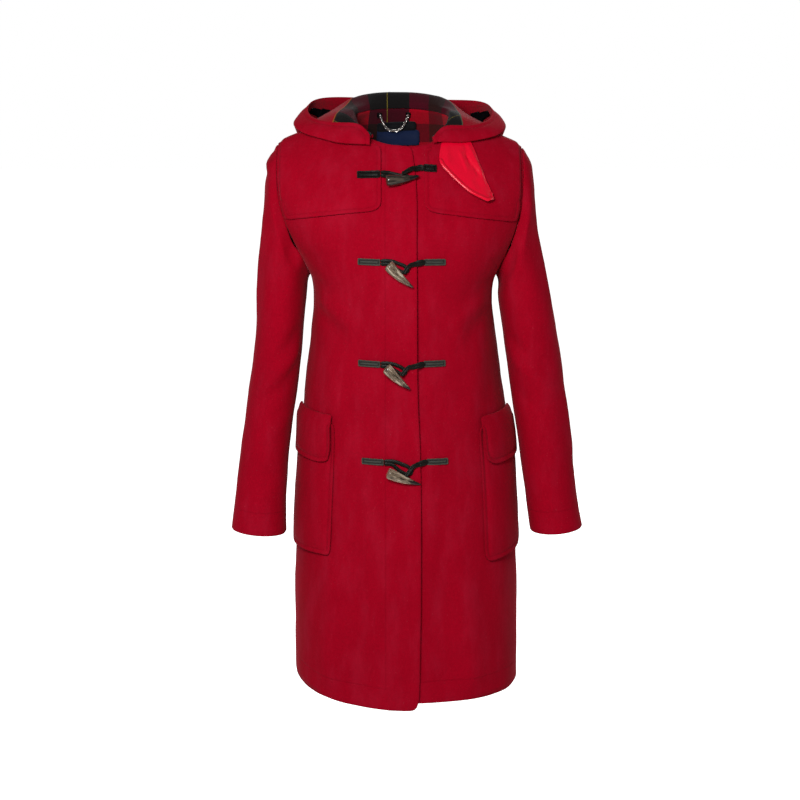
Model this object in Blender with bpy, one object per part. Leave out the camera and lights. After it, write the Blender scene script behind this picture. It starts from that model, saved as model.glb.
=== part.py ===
"""Women's duffle coat in double-faced wool, shown as worn but with no wearer in it.

Metres, +Z up. The coat faces -Y and +X is the wearer's left. The origin is in the
middle of the neck, level with the neck seam at the centre back.

The body is one surface for the front and one for the back. A point on either is
given by its share (0 at the centre line, 1 at the side seam or armhole) and its
level (its height up to the top of the armhole's curve, and from there a measure
that runs on to the neck and the shoulder seam). Panels, yokes, pockets and
leather patches are all read from those two surfaces and moved out along their
normals, so what lies on the cloth follows it.
"""
import math
from collections import namedtuple

import bmesh
import bpy
import numpy as np
from mathutils import Vector
from mathutils.bvhtree import BVHTree

# Driving sizes
CLOTH = 0.0024
HOOD_CLOTH = 0.0018
SEAM_GAP = 0.0003
LAYER_GAP = 0.0008
YOKE_LIFT = 0.0014
LAP_LIFT = 0.0040
LEATHER = 0.0016
SIDE_Y = 0.004
HEM_LEVEL = -0.918
SWAY = 0.0050
UNDERARM = -0.257
ARM_MID = -0.170
ARM_TOP = -0.150
UPPER = 0.110
NECK_LEVEL = ARM_TOP + UPPER
SQUARE = 2.25

# Neck and shoulder
NECK_HALF = 0.078
NECK_MID_Y = -0.012
NECK_FRONT = 0.070
NECK_BACK = 0.058
NECK_FRONT_Z = -0.0455
NECK_SIDE_Z = -0.004
NECK_BACK_Z = 0.003
NECK_SHARE = 0.42
SHOULDER = (0.1975, 0.004, -0.048)

FRONT = -1
BACK = 1
WEARERS_LEFT = 1
WEARERS_RIGHT = -1

# The hem hangs a little askew: how far it is moved at the side seam and the centre line
HemRow = namedtuple("HemRow", "at_side at_centre")
HEM = {
    (FRONT, WEARERS_RIGHT): HemRow(0.0120, -0.0110),
    (FRONT, WEARERS_LEFT): HemRow(-0.0030, 0.0005),
    (BACK, WEARERS_RIGHT): HemRow(0.0120, 0.0030),
    (BACK, WEARERS_LEFT): HemRow(-0.0030, 0.0030),
}

# The wearer's left shoulder sits a little lower and closer to the neck
SHOULDER_DRAW = 0.050
SHOULDER_DROP = 0.005

Section = namedtuple("Section", "level half_width front_depth back_depth")
BODY = (
    Section(-0.930, 0.1838, 0.1740, 0.1500),
    Section(-0.820, 0.1830, 0.1660, 0.1460),
    Section(-0.700, 0.1806, 0.1580, 0.1410),
    Section(-0.580, 0.1742, 0.1500, 0.1350),
    Section(-0.470, 0.1642, 0.1445, 0.1280),
    Section(-0.385, 0.1525, 0.1430, 0.1215),
    Section(-0.320, 0.1450, 0.1450, 0.1180),
    Section(-0.280, 0.1415, 0.1470, 0.1175),
    Section(-0.257, 0.1465, 0.1470, 0.1175),
    Section(-0.200, 0.1600, 0.1450, 0.1180),
    Section(-0.150, 0.1700, 0.1370, 0.1170),
)

ArmholeRow = namedtuple("ArmholeRow", "level x")
ARMHOLE = (
    ArmholeRow(-0.257, 0.1465),
    ArmholeRow(-0.230, 0.1560),
    ArmholeRow(-0.195, 0.1730),
    ArmholeRow(-0.150, 0.1890),
)
ARMHOLE_DEPTH = {FRONT: 0.068, BACK: 0.076}

# Rows and columns of the panels
BODY_LEVELS = (-0.880, -0.820, -0.755, -0.690, -0.625, -0.560, -0.500, -0.445,
               -0.395, -0.345, -0.305, -0.278)
ARM_LEVELS = (-0.257, -0.2525, -0.243, -0.227, -0.204, -0.177, -0.150)
UPPER_STEPS = 6
YOKE_EDGE = 0.033
SIDE_SHARES = (0.30, NECK_SHARE, 0.53, 0.65, 0.77, 0.89, 1.0)
BACK_SHARES = (0.0, 0.105, 0.21, 0.315, NECK_SHARE, 0.53, 0.65, 0.77, 0.89, 1.0)

# How far each front passes the centre line, level by level
LapRow = namedtuple("LapRow", "level right_front left_front")
LAP = (
    LapRow(-0.930, 0.0200, 0.030),
    LapRow(-0.800, 0.0225, 0.030),
    LapRow(-0.400, 0.0215, 0.030),
    LapRow(-0.200, 0.0205, 0.030),
    LapRow(-0.090, 0.0190, 0.030),
    LapRow(-0.040, 0.0125, 0.024),
)


def curve_through(rows, at, value, x):
    """Read one named column of a table as a smooth curve of another."""
    xs = np.array([getattr(row, at) for row in rows])
    ys = np.array([getattr(row, value) for row in rows])
    if xs[0] > xs[-1]:
        xs = xs[::-1]
        ys = ys[::-1]
    slopes = np.gradient(ys, xs)
    x = np.clip(np.asarray(x, dtype=float), xs[0], xs[-1])
    i = np.clip(np.searchsorted(xs, x) - 1, 0, len(xs) - 2)
    width = xs[i + 1] - xs[i]
    t = (x - xs[i]) / width
    start = (2 * t**3 - 3 * t**2 + 1) * ys[i] + (t**3 - 2 * t**2 + t) * width * slopes[i]
    end = (3 * t**2 - 2 * t**3) * ys[i + 1] + (t**3 - t**2) * width * slopes[i + 1]
    return start + end


def unit(vectors):
    return vectors / np.maximum(np.linalg.norm(vectors, axis=-1, keepdims=True), 1e-12)


def ease(x):
    """0 below 0, 1 above 1 and a smooth rise between."""
    x = np.clip(x, 0.0, 1.0)
    return x * x * (3 - 2 * x)


# The body's two surfaces

def lower_surface(face, side, share, level):
    """The body from hem to the top of the armhole's curve: one section a level."""
    column = "front_depth" if face == FRONT else "back_depth"
    depth = curve_through(BODY, "level", column, level)
    rise = np.clip((level - UNDERARM) / (ARM_MID - UNDERARM), 0.0, 1.0)
    reach = ARMHOLE_DEPTH[face] * np.sqrt(1 - (1 - rise)**2)
    arm_x = curve_through(ARMHOLE, "level", "x", level)
    in_armhole = level > UNDERARM
    above = arm_x / (1 - (reach / depth)**SQUARE)**(1 / SQUARE)
    width = np.where(in_armhole, above, curve_through(BODY, "level", "half_width", level))
    end = np.where(in_armhole, np.arctan2(arm_x, reach), math.pi / 2)
    angle = share * end
    across = np.sin(angle)
    along = np.cos(angle)
    radius = (np.abs(across / width)**SQUARE + np.abs(along / depth)**SQUARE)**(-1 / SQUARE)
    near_hem = np.clip((-0.70 - level) / 0.218, 0.0, 1.0)**2
    hem = HEM[face, side]
    shift = near_hem * (hem.at_side + (hem.at_centre - hem.at_side) * np.clip(along, 0.0, 1.0)**1.5)
    return np.stack([radius * across, SIDE_Y + face * radius * along, level + shift], axis=-1)


def top_line(face, share):
    """The neck seam from the centre line out, and then the shoulder seam."""
    turn = np.clip(share / NECK_SHARE, 0.0, 1.0) * math.pi / 2
    rise = 1 - np.cos(turn)
    neck_x = NECK_HALF * np.sin(turn)
    if face == FRONT:
        neck_y = NECK_MID_Y - NECK_FRONT * np.cos(turn)
        neck_z = NECK_FRONT_Z + (NECK_SIDE_Z - NECK_FRONT_Z) * rise**1.4
    else:
        neck_y = NECK_MID_Y + NECK_BACK * np.cos(turn)
        neck_z = NECK_BACK_Z + (NECK_SIDE_Z - NECK_BACK_Z) * rise
    out = np.clip((share - NECK_SHARE) / (1 - NECK_SHARE), 0.0, 1.0)
    x = neck_x + (SHOULDER[0] - NECK_HALF) * out
    y = neck_y + (SHOULDER[1] - NECK_MID_Y) * out
    z = neck_z + (SHOULDER[2] - NECK_SIDE_Z) * out + 0.003 * np.sin(math.pi * out)
    return np.stack([x, y, z], axis=-1)


def arrival(face, share):
    """Direction and speed in which the cloth reaches the top line."""
    out = ease(share / NECK_SHARE)
    y = 0.050 + 0.070 * out
    z = 0.085 - 0.075 * out
    return np.stack([np.zeros_like(y), -face * y, z], axis=-1)


def half_surface(face, side, share, level):
    """A point of one half, built at +X; below share 0 it is the other half."""
    share = np.asarray(share, dtype=float)
    level = np.asarray(level, dtype=float)
    share, level = np.broadcast_arrays(share, level)
    size = np.abs(share)
    low = lower_surface(face, side, size, np.minimum(level, ARM_TOP))
    step = 0.004
    base = lower_surface(face, side, size, np.full(level.shape, ARM_TOP))
    below = lower_surface(face, side, size, np.full(level.shape, ARM_TOP - step))
    leave = (base - below) / step * UPPER
    t = np.clip((level - ARM_TOP) / UPPER, 0.0, 1.0)[..., None]
    top = top_line(face, size)
    high = ((2 * t**3 - 3 * t**2 + 1) * base + (t**3 - 2 * t**2 + t) * leave
            + (3 * t**2 - 2 * t**3) * top + (t**3 - t**2) * arrival(face, size))
    points = np.where((level > ARM_TOP)[..., None], high, low)
    points[..., 0] *= np.where(share < 0, -1.0, 1.0)
    return points


def half_normal(face, side, share, level):
    share_step = 0.004
    level_step = 0.001
    share_a = np.minimum(share + share_step, 1.0)
    level_a = np.minimum(level + level_step, NECK_LEVEL)
    across = (half_surface(face, side, share_a, level)
              - half_surface(face, side, share_a - 2 * share_step, level))
    up = (half_surface(face, side, share, level_a)
          - half_surface(face, side, share, level_a - 2 * level_step))
    return unit(np.cross(across, up)) * -face


def share_at(face, x, level):
    """The share at which the section of a level passes a distance x from the centre."""
    shares = np.linspace(0.0, 0.95, 60)
    xs = half_surface(face, WEARERS_LEFT, shares, np.full(shares.shape, float(level)))[:, 0]
    return math.copysign(float(np.interp(abs(x), xs, shares)), x)


def level_at(face, share, z):
    """The level at which a line of equal share passes a height."""
    levels = np.linspace(HEM_LEVEL, NECK_LEVEL, 600)
    zs = half_surface(face, WEARERS_LEFT, np.full(levels.shape, float(share)), levels)[:, 2]
    return float(np.interp(z, zs, levels))


# Soft folds of the body: each runs from one point to another on a half
Fold = namedtuple("Fold", "face side share_a level_a share_b level_b width height")
FOLDS = (
    Fold(FRONT, WEARERS_RIGHT, 0.86, -0.268, 0.50, -0.330, 0.020, 0.0022),
    Fold(FRONT, WEARERS_LEFT, 0.86, -0.268, 0.52, -0.320, 0.020, 0.0020),
    Fold(FRONT, WEARERS_RIGHT, 0.62, -0.700, 0.55, -0.918, 0.030, 0.0030),
    Fold(FRONT, WEARERS_LEFT, 0.58, -0.710, 0.60, -0.918, 0.030, 0.0035),
    Fold(FRONT, WEARERS_LEFT, 0.90, -0.300, 0.80, -0.450, 0.024, -0.0022),
    Fold(BACK, WEARERS_RIGHT, 0.55, -0.420, 0.48, -0.918, 0.040, 0.0050),
    Fold(BACK, WEARERS_LEFT, 0.50, -0.400, 0.55, -0.918, 0.040, 0.0045),
    Fold(BACK, WEARERS_RIGHT, 0.85, -0.265, 0.40, -0.330, 0.022, 0.0025),
    Fold(BACK, WEARERS_LEFT, 0.85, -0.265, 0.42, -0.320, 0.022, 0.0025),
)
GIRTH = 0.23


def relief(face, side, share, level):
    """How far the folds lift or sink the cloth at a point."""
    height = np.zeros(np.broadcast(share, level).shape)
    for fold in FOLDS:
        if fold.face != face or fold.side != side:
            continue
        start = np.array([fold.share_a * GIRTH, fold.level_a])
        run = np.array([fold.share_b * GIRTH, fold.level_b]) - start
        px = share * GIRTH - start[0]
        pz = level - start[1]
        t = np.clip((px * run[0] + pz * run[1]) / run.dot(run), 0.0, 1.0)
        away = np.hypot(px - t * run[0], pz - t * run[1])
        fade = ease(t * 4) * (1.0 if fold.level_b <= HEM_LEVEL else ease((1 - t) * 4))
        height = height + fold.height * np.exp(-(away / fold.width)**2) * fade
    return height


def coat(face, side, share, level, lift=0.0):
    """A point of the coat's outer face and its normal, moved out by lift."""
    share, level = np.broadcast_arrays(np.asarray(share, float), np.asarray(level, float))
    points = half_surface(face, side, share, level)
    normals = half_normal(face, side, share, level)
    raised = lift + relief(face, side, share, level)
    if face == FRONT and side == WEARERS_RIGHT:
        raised = raised + LAP_LIFT * ease((0.072 - points[..., 0]) / 0.047)
    points = points + normals * np.asarray(raised)[..., None]
    mirror = np.array([side, 1.0, 1.0])
    points = points * mirror
    points[..., 0] += SWAY * ease((-0.40 - points[..., 2]) / 0.14)
    return points, normals * mirror


# Materials

def finish(name, colour, roughness, metallic=0.0):
    material = bpy.data.materials.new(name)
    material.use_nodes = True
    shader = material.node_tree.nodes["Principled BSDF"]
    shader.inputs["Base Color"].default_value = (*colour, 1.0)
    shader.inputs["Roughness"].default_value = roughness
    shader.inputs["Metallic"].default_value = metallic
    return material


WOOL = (0.33, 0.004, 0.015)
CHECK = (0.11, 0.008, 0.015)
SATIN = (0.72, 0.010, 0.025)
DARK_LEATHER = (0.018, 0.022, 0.020)
HORN = (0.16, 0.12, 0.09)
STEEL = (0.72, 0.66, 0.62)
NAVY = (0.012, 0.022, 0.070)
BLACK = (0.008, 0.008, 0.010)


# Solids

def add_object(name, mesh, colour, roughness, metallic=0.0):
    mesh.materials.append(finish(name, colour, roughness, metallic))
    item = bpy.data.objects.new(name, mesh)
    bpy.context.scene.collection.objects.link(item)
    return item


def settled(points):
    """The coat's posture: the wearer's left shoulder drawn in and down."""
    points = np.array(points, dtype=float)
    x, y, z = points[..., 0], points[..., 1], points[..., 2]
    high = ease((z + 0.270) / 0.180) * ease(x / 0.110)
    return np.stack([x * (1 - SHOULDER_DRAW * high), y, z - SHOULDER_DROP * high], axis=-1)


def edge_faces(bm, out_a, out_b, in_a, in_b):
    """The cut edge of the cloth, split the same way on both sides of a seam."""
    if out_a.co.z > out_b.co.z:
        out_a, out_b, in_a, in_b = out_b, out_a, in_b, in_a
    bm.faces.new((out_a, out_b, in_b))
    bm.faces.new((out_a, in_b, in_a))


def wall(name, outer, inner, colour, roughness, closed=False):
    """A cloth wall between two grids of points; closed joins the last column to the first."""
    outer = settled(outer)
    inner = settled(inner)
    rows, columns = outer.shape[:2]
    bm = bmesh.new()
    sheets = []
    for grid in (outer, inner):
        sheets.append([[bm.verts.new(grid[r, c]) for c in range(columns)] for r in range(rows)])
    cells = columns if closed else columns - 1
    for sheet in sheets:
        for r in range(rows - 1):
            for c in range(cells):
                d = (c + 1) % columns
                bm.faces.new((sheet[r][c], sheet[r][d], sheet[r + 1][d]))
                bm.faces.new((sheet[r][c], sheet[r + 1][d], sheet[r + 1][c]))
    face_out, face_in = sheets
    for r in (0, rows - 1):
        for c in range(cells):
            d = (c + 1) % columns
            edge_faces(bm, face_out[r][c], face_out[r][d], face_in[r][c], face_in[r][d])
    if not closed:
        for c in (0, columns - 1):
            for r in range(rows - 1):
                edge_faces(bm, face_out[r][c], face_out[r + 1][c], face_in[r][c], face_in[r + 1][c])
    bmesh.ops.recalc_face_normals(bm, faces=bm.faces)
    mesh = bpy.data.meshes.new(name)
    bm.to_mesh(mesh)
    bm.free()
    mesh.shade_smooth()
    mesh.set_sharp_from_angle(angle=math.radians(50))
    return add_object(name, mesh, colour, roughness)


def layer(name, face, side, shares, levels, lift, thickness, colour, roughness):
    """A piece that lies on the coat: its underside is lift above the coat's outer face."""
    under, normals = coat(face, side, shares, levels, lift)
    outer = under + normals * thickness
    return wall(name, outer, under, colour, roughness)


# Levels shared by all panels, from hem to neck
def panel_levels():
    steps = np.linspace(0.0, 1.0, UPPER_STEPS + 1)[1:]
    upper = [ARM_TOP + UPPER * step for step in steps]
    upper[-1] = NECK_LEVEL - SEAM_GAP / 2
    return np.array([HEM_LEVEL, *BODY_LEVELS, *ARM_LEVELS, *upper])


LEVELS = panel_levels()
ARM_START = len(BODY_LEVELS) + 1


def front_shares(level, first):
    """Columns of a front: its free edge, the centre line, the yoke's edge, the rest."""
    return [share_at(FRONT, -first, level), 0.0, share_at(FRONT, YOKE_EDGE, level), *SIDE_SHARES]


def pull_in(face, side, shares, levels):
    """Stop the last column half a seam gap short of the side seam or armhole."""
    shares = shares.copy()
    near = half_surface(face, side, 0.99, levels[:, -1])
    edge = half_surface(face, side, 1.0, levels[:, -1])
    speed = np.linalg.norm(edge - near, axis=-1) / 0.01
    shares[:, -1] = 1.0 - SEAM_GAP / 2 / speed
    return shares


# Sleeves: each ring lies in a tilted plane through its outer and its inner point
Ring = namedtuple("Ring", "down outer_x outer_z inner_x inner_z front_y back_y")
CAP = (
    Ring(0.000, 0.1975, -0.0480, 0.1465, -0.2570, -0.064, 0.080),
    Ring(0.020, 0.2095, -0.0640, 0.1490, -0.2610, -0.068, 0.083),
    Ring(0.045, 0.2160, -0.0870, 0.1510, -0.2670, -0.070, 0.084),
    Ring(0.080, 0.2190, -0.1200, 0.1525, -0.2760, -0.071, 0.082),
)
RIGHT_SLEEVE = CAP + (
    Ring(0.130, 0.2225, -0.1650, 0.1535, -0.2880, -0.071, 0.078),
    Ring(0.190, 0.2265, -0.2200, 0.1550, -0.3060, -0.069, 0.072),
    Ring(0.250, 0.2310, -0.2800, 0.1575, -0.3350, -0.067, 0.066),
    Ring(0.310, 0.2350, -0.3400, 0.1615, -0.3750, -0.066, 0.060),
    Ring(0.370, 0.2420, -0.4000, 0.1665, -0.4230, -0.066, 0.054),
    Ring(0.430, 0.2510, -0.4600, 0.1745, -0.4740, -0.067, 0.047),
    Ring(0.490, 0.2600, -0.5200, 0.1822, -0.5300, -0.070, 0.040),
    Ring(0.550, 0.2680, -0.5800, 0.1865, -0.5880, -0.074, 0.032),
    Ring(0.600, 0.2735, -0.6260, 0.1890, -0.6340, -0.078, 0.024),
    Ring(0.638, 0.2785, -0.6630, 0.1880, -0.6710, -0.081, 0.018),
)
LEFT_SLEEVE = CAP + (
    Ring(0.130, 0.2165, -0.1650, 0.1510, -0.2880, -0.071, 0.078),
    Ring(0.190, 0.2225, -0.2200, 0.1530, -0.3060, -0.069, 0.072),
    Ring(0.250, 0.2325, -0.2800, 0.1570, -0.3350, -0.067, 0.066),
    Ring(0.310, 0.2465, -0.3400, 0.1625, -0.3750, -0.066, 0.060),
    Ring(0.370, 0.2565, -0.4000, 0.1690, -0.4230, -0.066, 0.054),
    Ring(0.430, 0.2630, -0.4600, 0.1775, -0.4740, -0.067, 0.047),
    Ring(0.490, 0.2710, -0.5200, 0.1865, -0.5300, -0.070, 0.040),
    Ring(0.550, 0.2775, -0.5800, 0.1935, -0.5880, -0.074, 0.032),
    Ring(0.600, 0.2840, -0.6260, 0.2010, -0.6340, -0.078, 0.024),
    Ring(0.638, 0.2905, -0.6600, 0.2055, -0.6680, -0.081, 0.018),
)
SLEEVE_LENGTH = 0.638
SLEEVE_DOWN = (0.0, 0.009, 0.022, 0.040, 0.064, 0.096, 0.135, 0.178, 0.222, 0.268, 0.315,
               0.362, 0.410, 0.458, 0.506, 0.554, 0.601, SLEEVE_LENGTH)
CAP_BLEND = 0.120
SLEEVE_RADIUS = 0.055

# Soft creases of the sleeves: turn is the way round from the outer seam, in degrees,
# counted forwards over the front
Crease = namedtuple("Crease", "side down_a turn_a down_b turn_b width height")
CREASES = (
    Crease(WEARERS_LEFT, 0.150, 80, 0.330, 30, 0.016, 0.0035),
    Crease(WEARERS_LEFT, 0.300, 130, 0.420, 70, 0.018, 0.0025),
    Crease(WEARERS_LEFT, 0.380, 250, 0.260, 300, 0.020, 0.0030),
    Crease(WEARERS_RIGHT, 0.130, 85, 0.300, 40, 0.018, 0.0030),
    Crease(WEARERS_RIGHT, 0.300, 110, 0.400, 60, 0.018, 0.0022),
    Crease(WEARERS_RIGHT, 0.400, 250, 0.280, 305, 0.020, 0.0030),
)


def armhole_ring():
    """The armhole from the shoulder down the front and up the back, a seam's gap off the panels."""
    places = [(FRONT, NECK_LEVEL)]
    places += [(FRONT, level) for level in LEVELS[-2:ARM_START - 1:-1]]
    places += [(BACK, level) for level in LEVELS[ARM_START + 1:-1]]
    edge = np.array([half_surface(face, WEARERS_LEFT, 1.0, level) for face, level in places])
    normals = np.array([half_normal(face, WEARERS_LEFT, 1.0, level) for face, level in places])
    normals[0] = unit(normals[0] + half_normal(BACK, WEARERS_LEFT, 1.0, NECK_LEVEL))
    tangents = np.roll(edge, -1, axis=0) - np.roll(edge, 1, axis=0)
    away = unit(np.cross(normals, tangents))
    return edge + away * SEAM_GAP, normals


ARMHOLE_POINTS, ARMHOLE_NORMALS = armhole_ring()


def ring_coordinates():
    """Each armhole point by its way from the outer to the inner end, its depth and its rise."""
    top = ARMHOLE_POINTS[0]
    low = ARMHOLE_POINTS[len(ARMHOLE_POINTS) // 2]
    axis = low - top
    length = np.linalg.norm(axis)
    axis = axis / length
    plane = np.cross(axis, [0.0, 1.0, 0.0])
    plane = plane / np.linalg.norm(plane)
    offset = ARMHOLE_POINTS - top
    way = offset @ axis / length
    rise = offset @ plane
    depth = offset[:, 1] - way * (low - top)[1]
    return way, depth, rise


RING_WAY, RING_DEPTH, RING_RISE = ring_coordinates()
RING_TURN = np.where(RING_DEPTH <= 0, np.arccos(np.clip(1 - 2 * RING_WAY, -1, 1)),
                     2 * math.pi - np.arccos(np.clip(1 - 2 * RING_WAY, -1, 1)))


def sleeve_point(side, turn, way, depth, rise, down):
    """A point of the left-hand form of a sleeve; way, depth and rise place it on the armhole."""
    table = LEFT_SLEEVE if side == WEARERS_LEFT else RIGHT_SLEEVE
    row = {name: curve_through(table, "down", name, down) for name in Ring._fields[1:]}
    outer = np.stack([row["outer_x"], row["outer_z"]], axis=-1)
    inner = np.stack([row["inner_x"], row["inner_z"]], axis=-1)
    axis = inner - outer
    mid_y = (row["front_y"] + row["back_y"]) / 2
    half = (row["back_y"] - row["front_y"]) / 2
    blend = ease(down / CAP_BLEND)
    squash = np.sign(np.sin(turn)) * np.abs(np.sin(turn))**0.88
    round_way = (1 - np.cos(turn)) / 2
    round_y = mid_y - half * squash
    start_scale = half / 0.072
    held_y = SHOULDER[1] * (1 - way) + SIDE_Y * way + depth * start_scale
    use_way = way * (1 - blend) + round_way * blend
    use_y = held_y * (1 - blend) + round_y * blend
    use_rise = rise * (1 - blend)
    length = np.linalg.norm(axis, axis=-1)
    normal_x = -axis[..., 1] / length
    normal_z = axis[..., 0] / length
    x = outer[..., 0] + axis[..., 0] * use_way + normal_x * use_rise
    z = outer[..., 1] + axis[..., 1] * use_way + normal_z * use_rise
    return np.stack([x, use_y, z], axis=-1)


def sleeve_grid(side, downs):
    """Outer points and normals of a sleeve's left-hand form, one row a ring."""
    def rings(values):
        grid = [sleeve_point(side, RING_TURN, RING_WAY, RING_DEPTH, RING_RISE,
                             np.full(len(RING_TURN), value)) for value in values]
        return np.array(grid)

    downs = np.asarray(downs)
    step = 0.003
    points = rings(downs)
    points[0] = ARMHOLE_POINTS
    ahead = rings(np.minimum(downs + step, SLEEVE_LENGTH))
    behind = rings(np.maximum(downs - step, 0.0))
    along = ahead - behind
    around = np.roll(points, -1, axis=1) - np.roll(points, 1, axis=1)
    normals = unit(np.cross(along, around))
    centre = points.mean(axis=1, keepdims=True)
    outward = np.sign(np.sum(normals * (points - centre), axis=-1, keepdims=True).mean())
    normals = normals * outward
    height = np.zeros(points.shape[:2])
    for crease in CREASES:
        if crease.side != side:
            continue
        start = np.array([crease.down_a, math.radians(crease.turn_a) * SLEEVE_RADIUS])
        run = np.array([crease.down_b, math.radians(crease.turn_b) * SLEEVE_RADIUS]) - start
        px = downs[:, None] - start[0]
        py = RING_TURN[None, :] * SLEEVE_RADIUS - start[1]
        t = np.clip((px * run[0] + py * run[1]) / run.dot(run), 0.0, 1.0)
        away = np.hypot(px - t * run[0], py - t * run[1])
        fade = ease(t * 3) * ease((1 - t) * 3)
        height = height + crease.height * np.exp(-(away / crease.width)**2) * fade
    return points + normals * height[..., None], normals


def mitre(normals_a, normals_b):
    """The direction shared by two walls that meet at a seam, longer at a sharp fold."""
    middle = unit(normals_a + normals_b)
    cosine = np.clip(np.sum(middle * normals_a, axis=-1, keepdims=True), 0.62, 1.0)
    return middle / cosine


def build_sleeve(side):
    points, normals = sleeve_grid(side, SLEEVE_DOWN)
    offsets = normals.copy()
    offsets[0] = ARMHOLE_MITRE[side]
    inner = points - offsets * CLOTH
    mirror = np.array([side, 1.0, 1.0])
    name = "sleeve_left" if side == WEARERS_LEFT else "sleeve_right"
    return wall(name, points * mirror, inner * mirror, WOOL, 0.9, closed=True)


def armhole_mitre(side):
    _, normals = sleeve_grid(side, (0.0, 0.009))
    return mitre(ARMHOLE_NORMALS, normals[0])


ARMHOLE_MITRE = {side: armhole_mitre(side) for side in (WEARERS_LEFT, WEARERS_RIGHT)}


def edge_offsets(face, side, normals):
    """Give the armhole column and the shoulder row the directions of their seams."""
    offsets = normals.copy()
    half = len(ARMHOLE_POINTS) // 2
    ring = ARMHOLE_MITRE[side] * np.array([side, 1.0, 1.0])
    rows = range(len(LEVELS) - 1, ARM_START - 1, -1)
    for count, row in enumerate(rows):
        index = count if face == FRONT else -count % len(ring)
        offsets[row, -1] = ring[index] if count <= half else ring[half]
    return offsets


def shoulder_offsets(side, shares):
    """The direction of the shoulder seam, half way between front and back."""
    mirror = np.array([side, 1.0, 1.0])
    top = np.full(shares.shape, NECK_LEVEL)
    front = half_normal(FRONT, side, shares, top)
    back = half_normal(BACK, side, shares, top)
    return mitre(front, back) * mirror


# Panels

def build_front(side):
    column = "left_front" if side == WEARERS_LEFT else "right_front"
    laps = curve_through(LAP, "level", column, LEVELS)
    shares = np.array([front_shares(level, lap) for level, lap in zip(LEVELS, laps)])
    levels = np.repeat(LEVELS[:, None], shares.shape[1], axis=1)
    shares = pull_in(FRONT, side, shares, levels)
    outer, normals = coat(FRONT, side, shares, levels)
    offsets = edge_offsets(FRONT, side, normals)
    seam = shares[-1] > NECK_SHARE + 0.01
    seam[-1] = False
    offsets[-1, seam] = shoulder_offsets(side, shares[-1, seam])
    corner = int(np.argmin(np.abs(shares[-1] - NECK_SHARE)))
    offsets[-1, corner] = neck_offset(FRONT, side, NECK_SHARE)
    name = "front_left" if side == WEARERS_LEFT else "front_right"
    return wall(name, outer, outer - offsets * CLOTH, WOOL, 0.9)


def neck_offset(face, side, share):
    """The direction across the neck edge; at the shoulder front and back share it."""
    mirror = np.array([side, 1.0, 1.0])
    place = np.array(float(share))
    level = np.array(NECK_LEVEL)
    normal = half_normal(face, side, place, level) * mirror
    if share > NECK_SHARE - 0.001:
        normal = mitre(normal, half_normal(-face, side, place, level) * mirror)
    return normal


def neck_out(face, side, share):
    """Level direction away from the middle of the neck at the neck seam."""
    point = top_line(face, np.array(float(share)))
    out = np.array([point[0] / NECK_HALF**2, (point[1] - NECK_MID_Y) / NECK_BACK**2, 0.0])
    out = unit(out)
    out[0] *= side
    return out


def build_back():
    sides = []
    for side in (WEARERS_RIGHT, WEARERS_LEFT):
        half = np.tile(np.array(BACK_SHARES), (len(LEVELS), 1))
        levels = np.repeat(LEVELS[:, None], half.shape[1], axis=1)
        half = pull_in(BACK, side, half, levels)
        outer, normals = coat(BACK, side, half, levels)
        offsets = edge_offsets(BACK, side, normals)
        seam = half[-1] > NECK_SHARE + 0.01
        seam[-1] = False
        offsets[-1, seam] = shoulder_offsets(side, half[-1, seam])
        corner = int(np.argmin(np.abs(half[-1] - NECK_SHARE)))
        offsets[-1, corner] = neck_offset(BACK, side, NECK_SHARE)
        sides.append((outer, outer - offsets * CLOTH))
    right, left = sides
    outer = np.concatenate([right[0][:, :0:-1], left[0]], axis=1)
    inner = np.concatenate([right[1][:, :0:-1], left[1]], axis=1)
    return wall("back", outer, inner, WOOL, 0.9)


# Yokes

FRONT_YOKE_INNER_Z = -0.1400
FRONT_YOKE_OUTER_Z = -0.1590
BACK_YOKE_Z = -0.158
YOKE_STOP = 0.965
YOKE_CORNER = 0.075


def yoke_levels(face, shares, bottom):
    """Rows of a yoke: its lower edge, then the panel's own rows above it."""
    rows = [level for level in LEVELS if level > max(bottom) + 0.010]
    rows[-1] = NECK_LEVEL - 0.007
    bottom = np.array(bottom)
    grid = [bottom, bottom + (rows[0] - bottom) / 3, bottom + (rows[0] - bottom) * 2 / 3]
    for level in rows:
        grid.append(np.full(len(shares), level))
    return np.array(grid)


def build_front_yoke(side):
    fixed = [share for share in SIDE_SHARES if share < 0.99] + [YOKE_STOP]
    inner_share = share_at(FRONT, YOKE_EDGE, -0.135)
    first = level_at(FRONT, inner_share, FRONT_YOKE_INNER_Z)
    last = level_at(FRONT, YOKE_STOP, FRONT_YOKE_OUTER_Z)
    columns = [inner_share, inner_share + 0.5 * YOKE_CORNER, *fixed]
    way = (np.array(columns) - inner_share) / (YOKE_STOP - inner_share)
    bottom = first + (last - first) * way**1.7
    bottom[0] += 0.0090
    bottom[1] += 0.0022
    levels = yoke_levels(FRONT, columns, bottom)
    shares = []
    for row in levels:
        edge = share_at(FRONT, YOKE_EDGE + 0.0005, row[0])
        shares.append([edge, edge + 0.5 * YOKE_CORNER, *fixed])
    shares = np.array(shares)
    name = "yoke_front_left" if side == WEARERS_LEFT else "yoke_front_right"
    return layer(name, FRONT, side, shares, levels, YOKE_LIFT, CLOTH, WOOL, 0.9)


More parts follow.
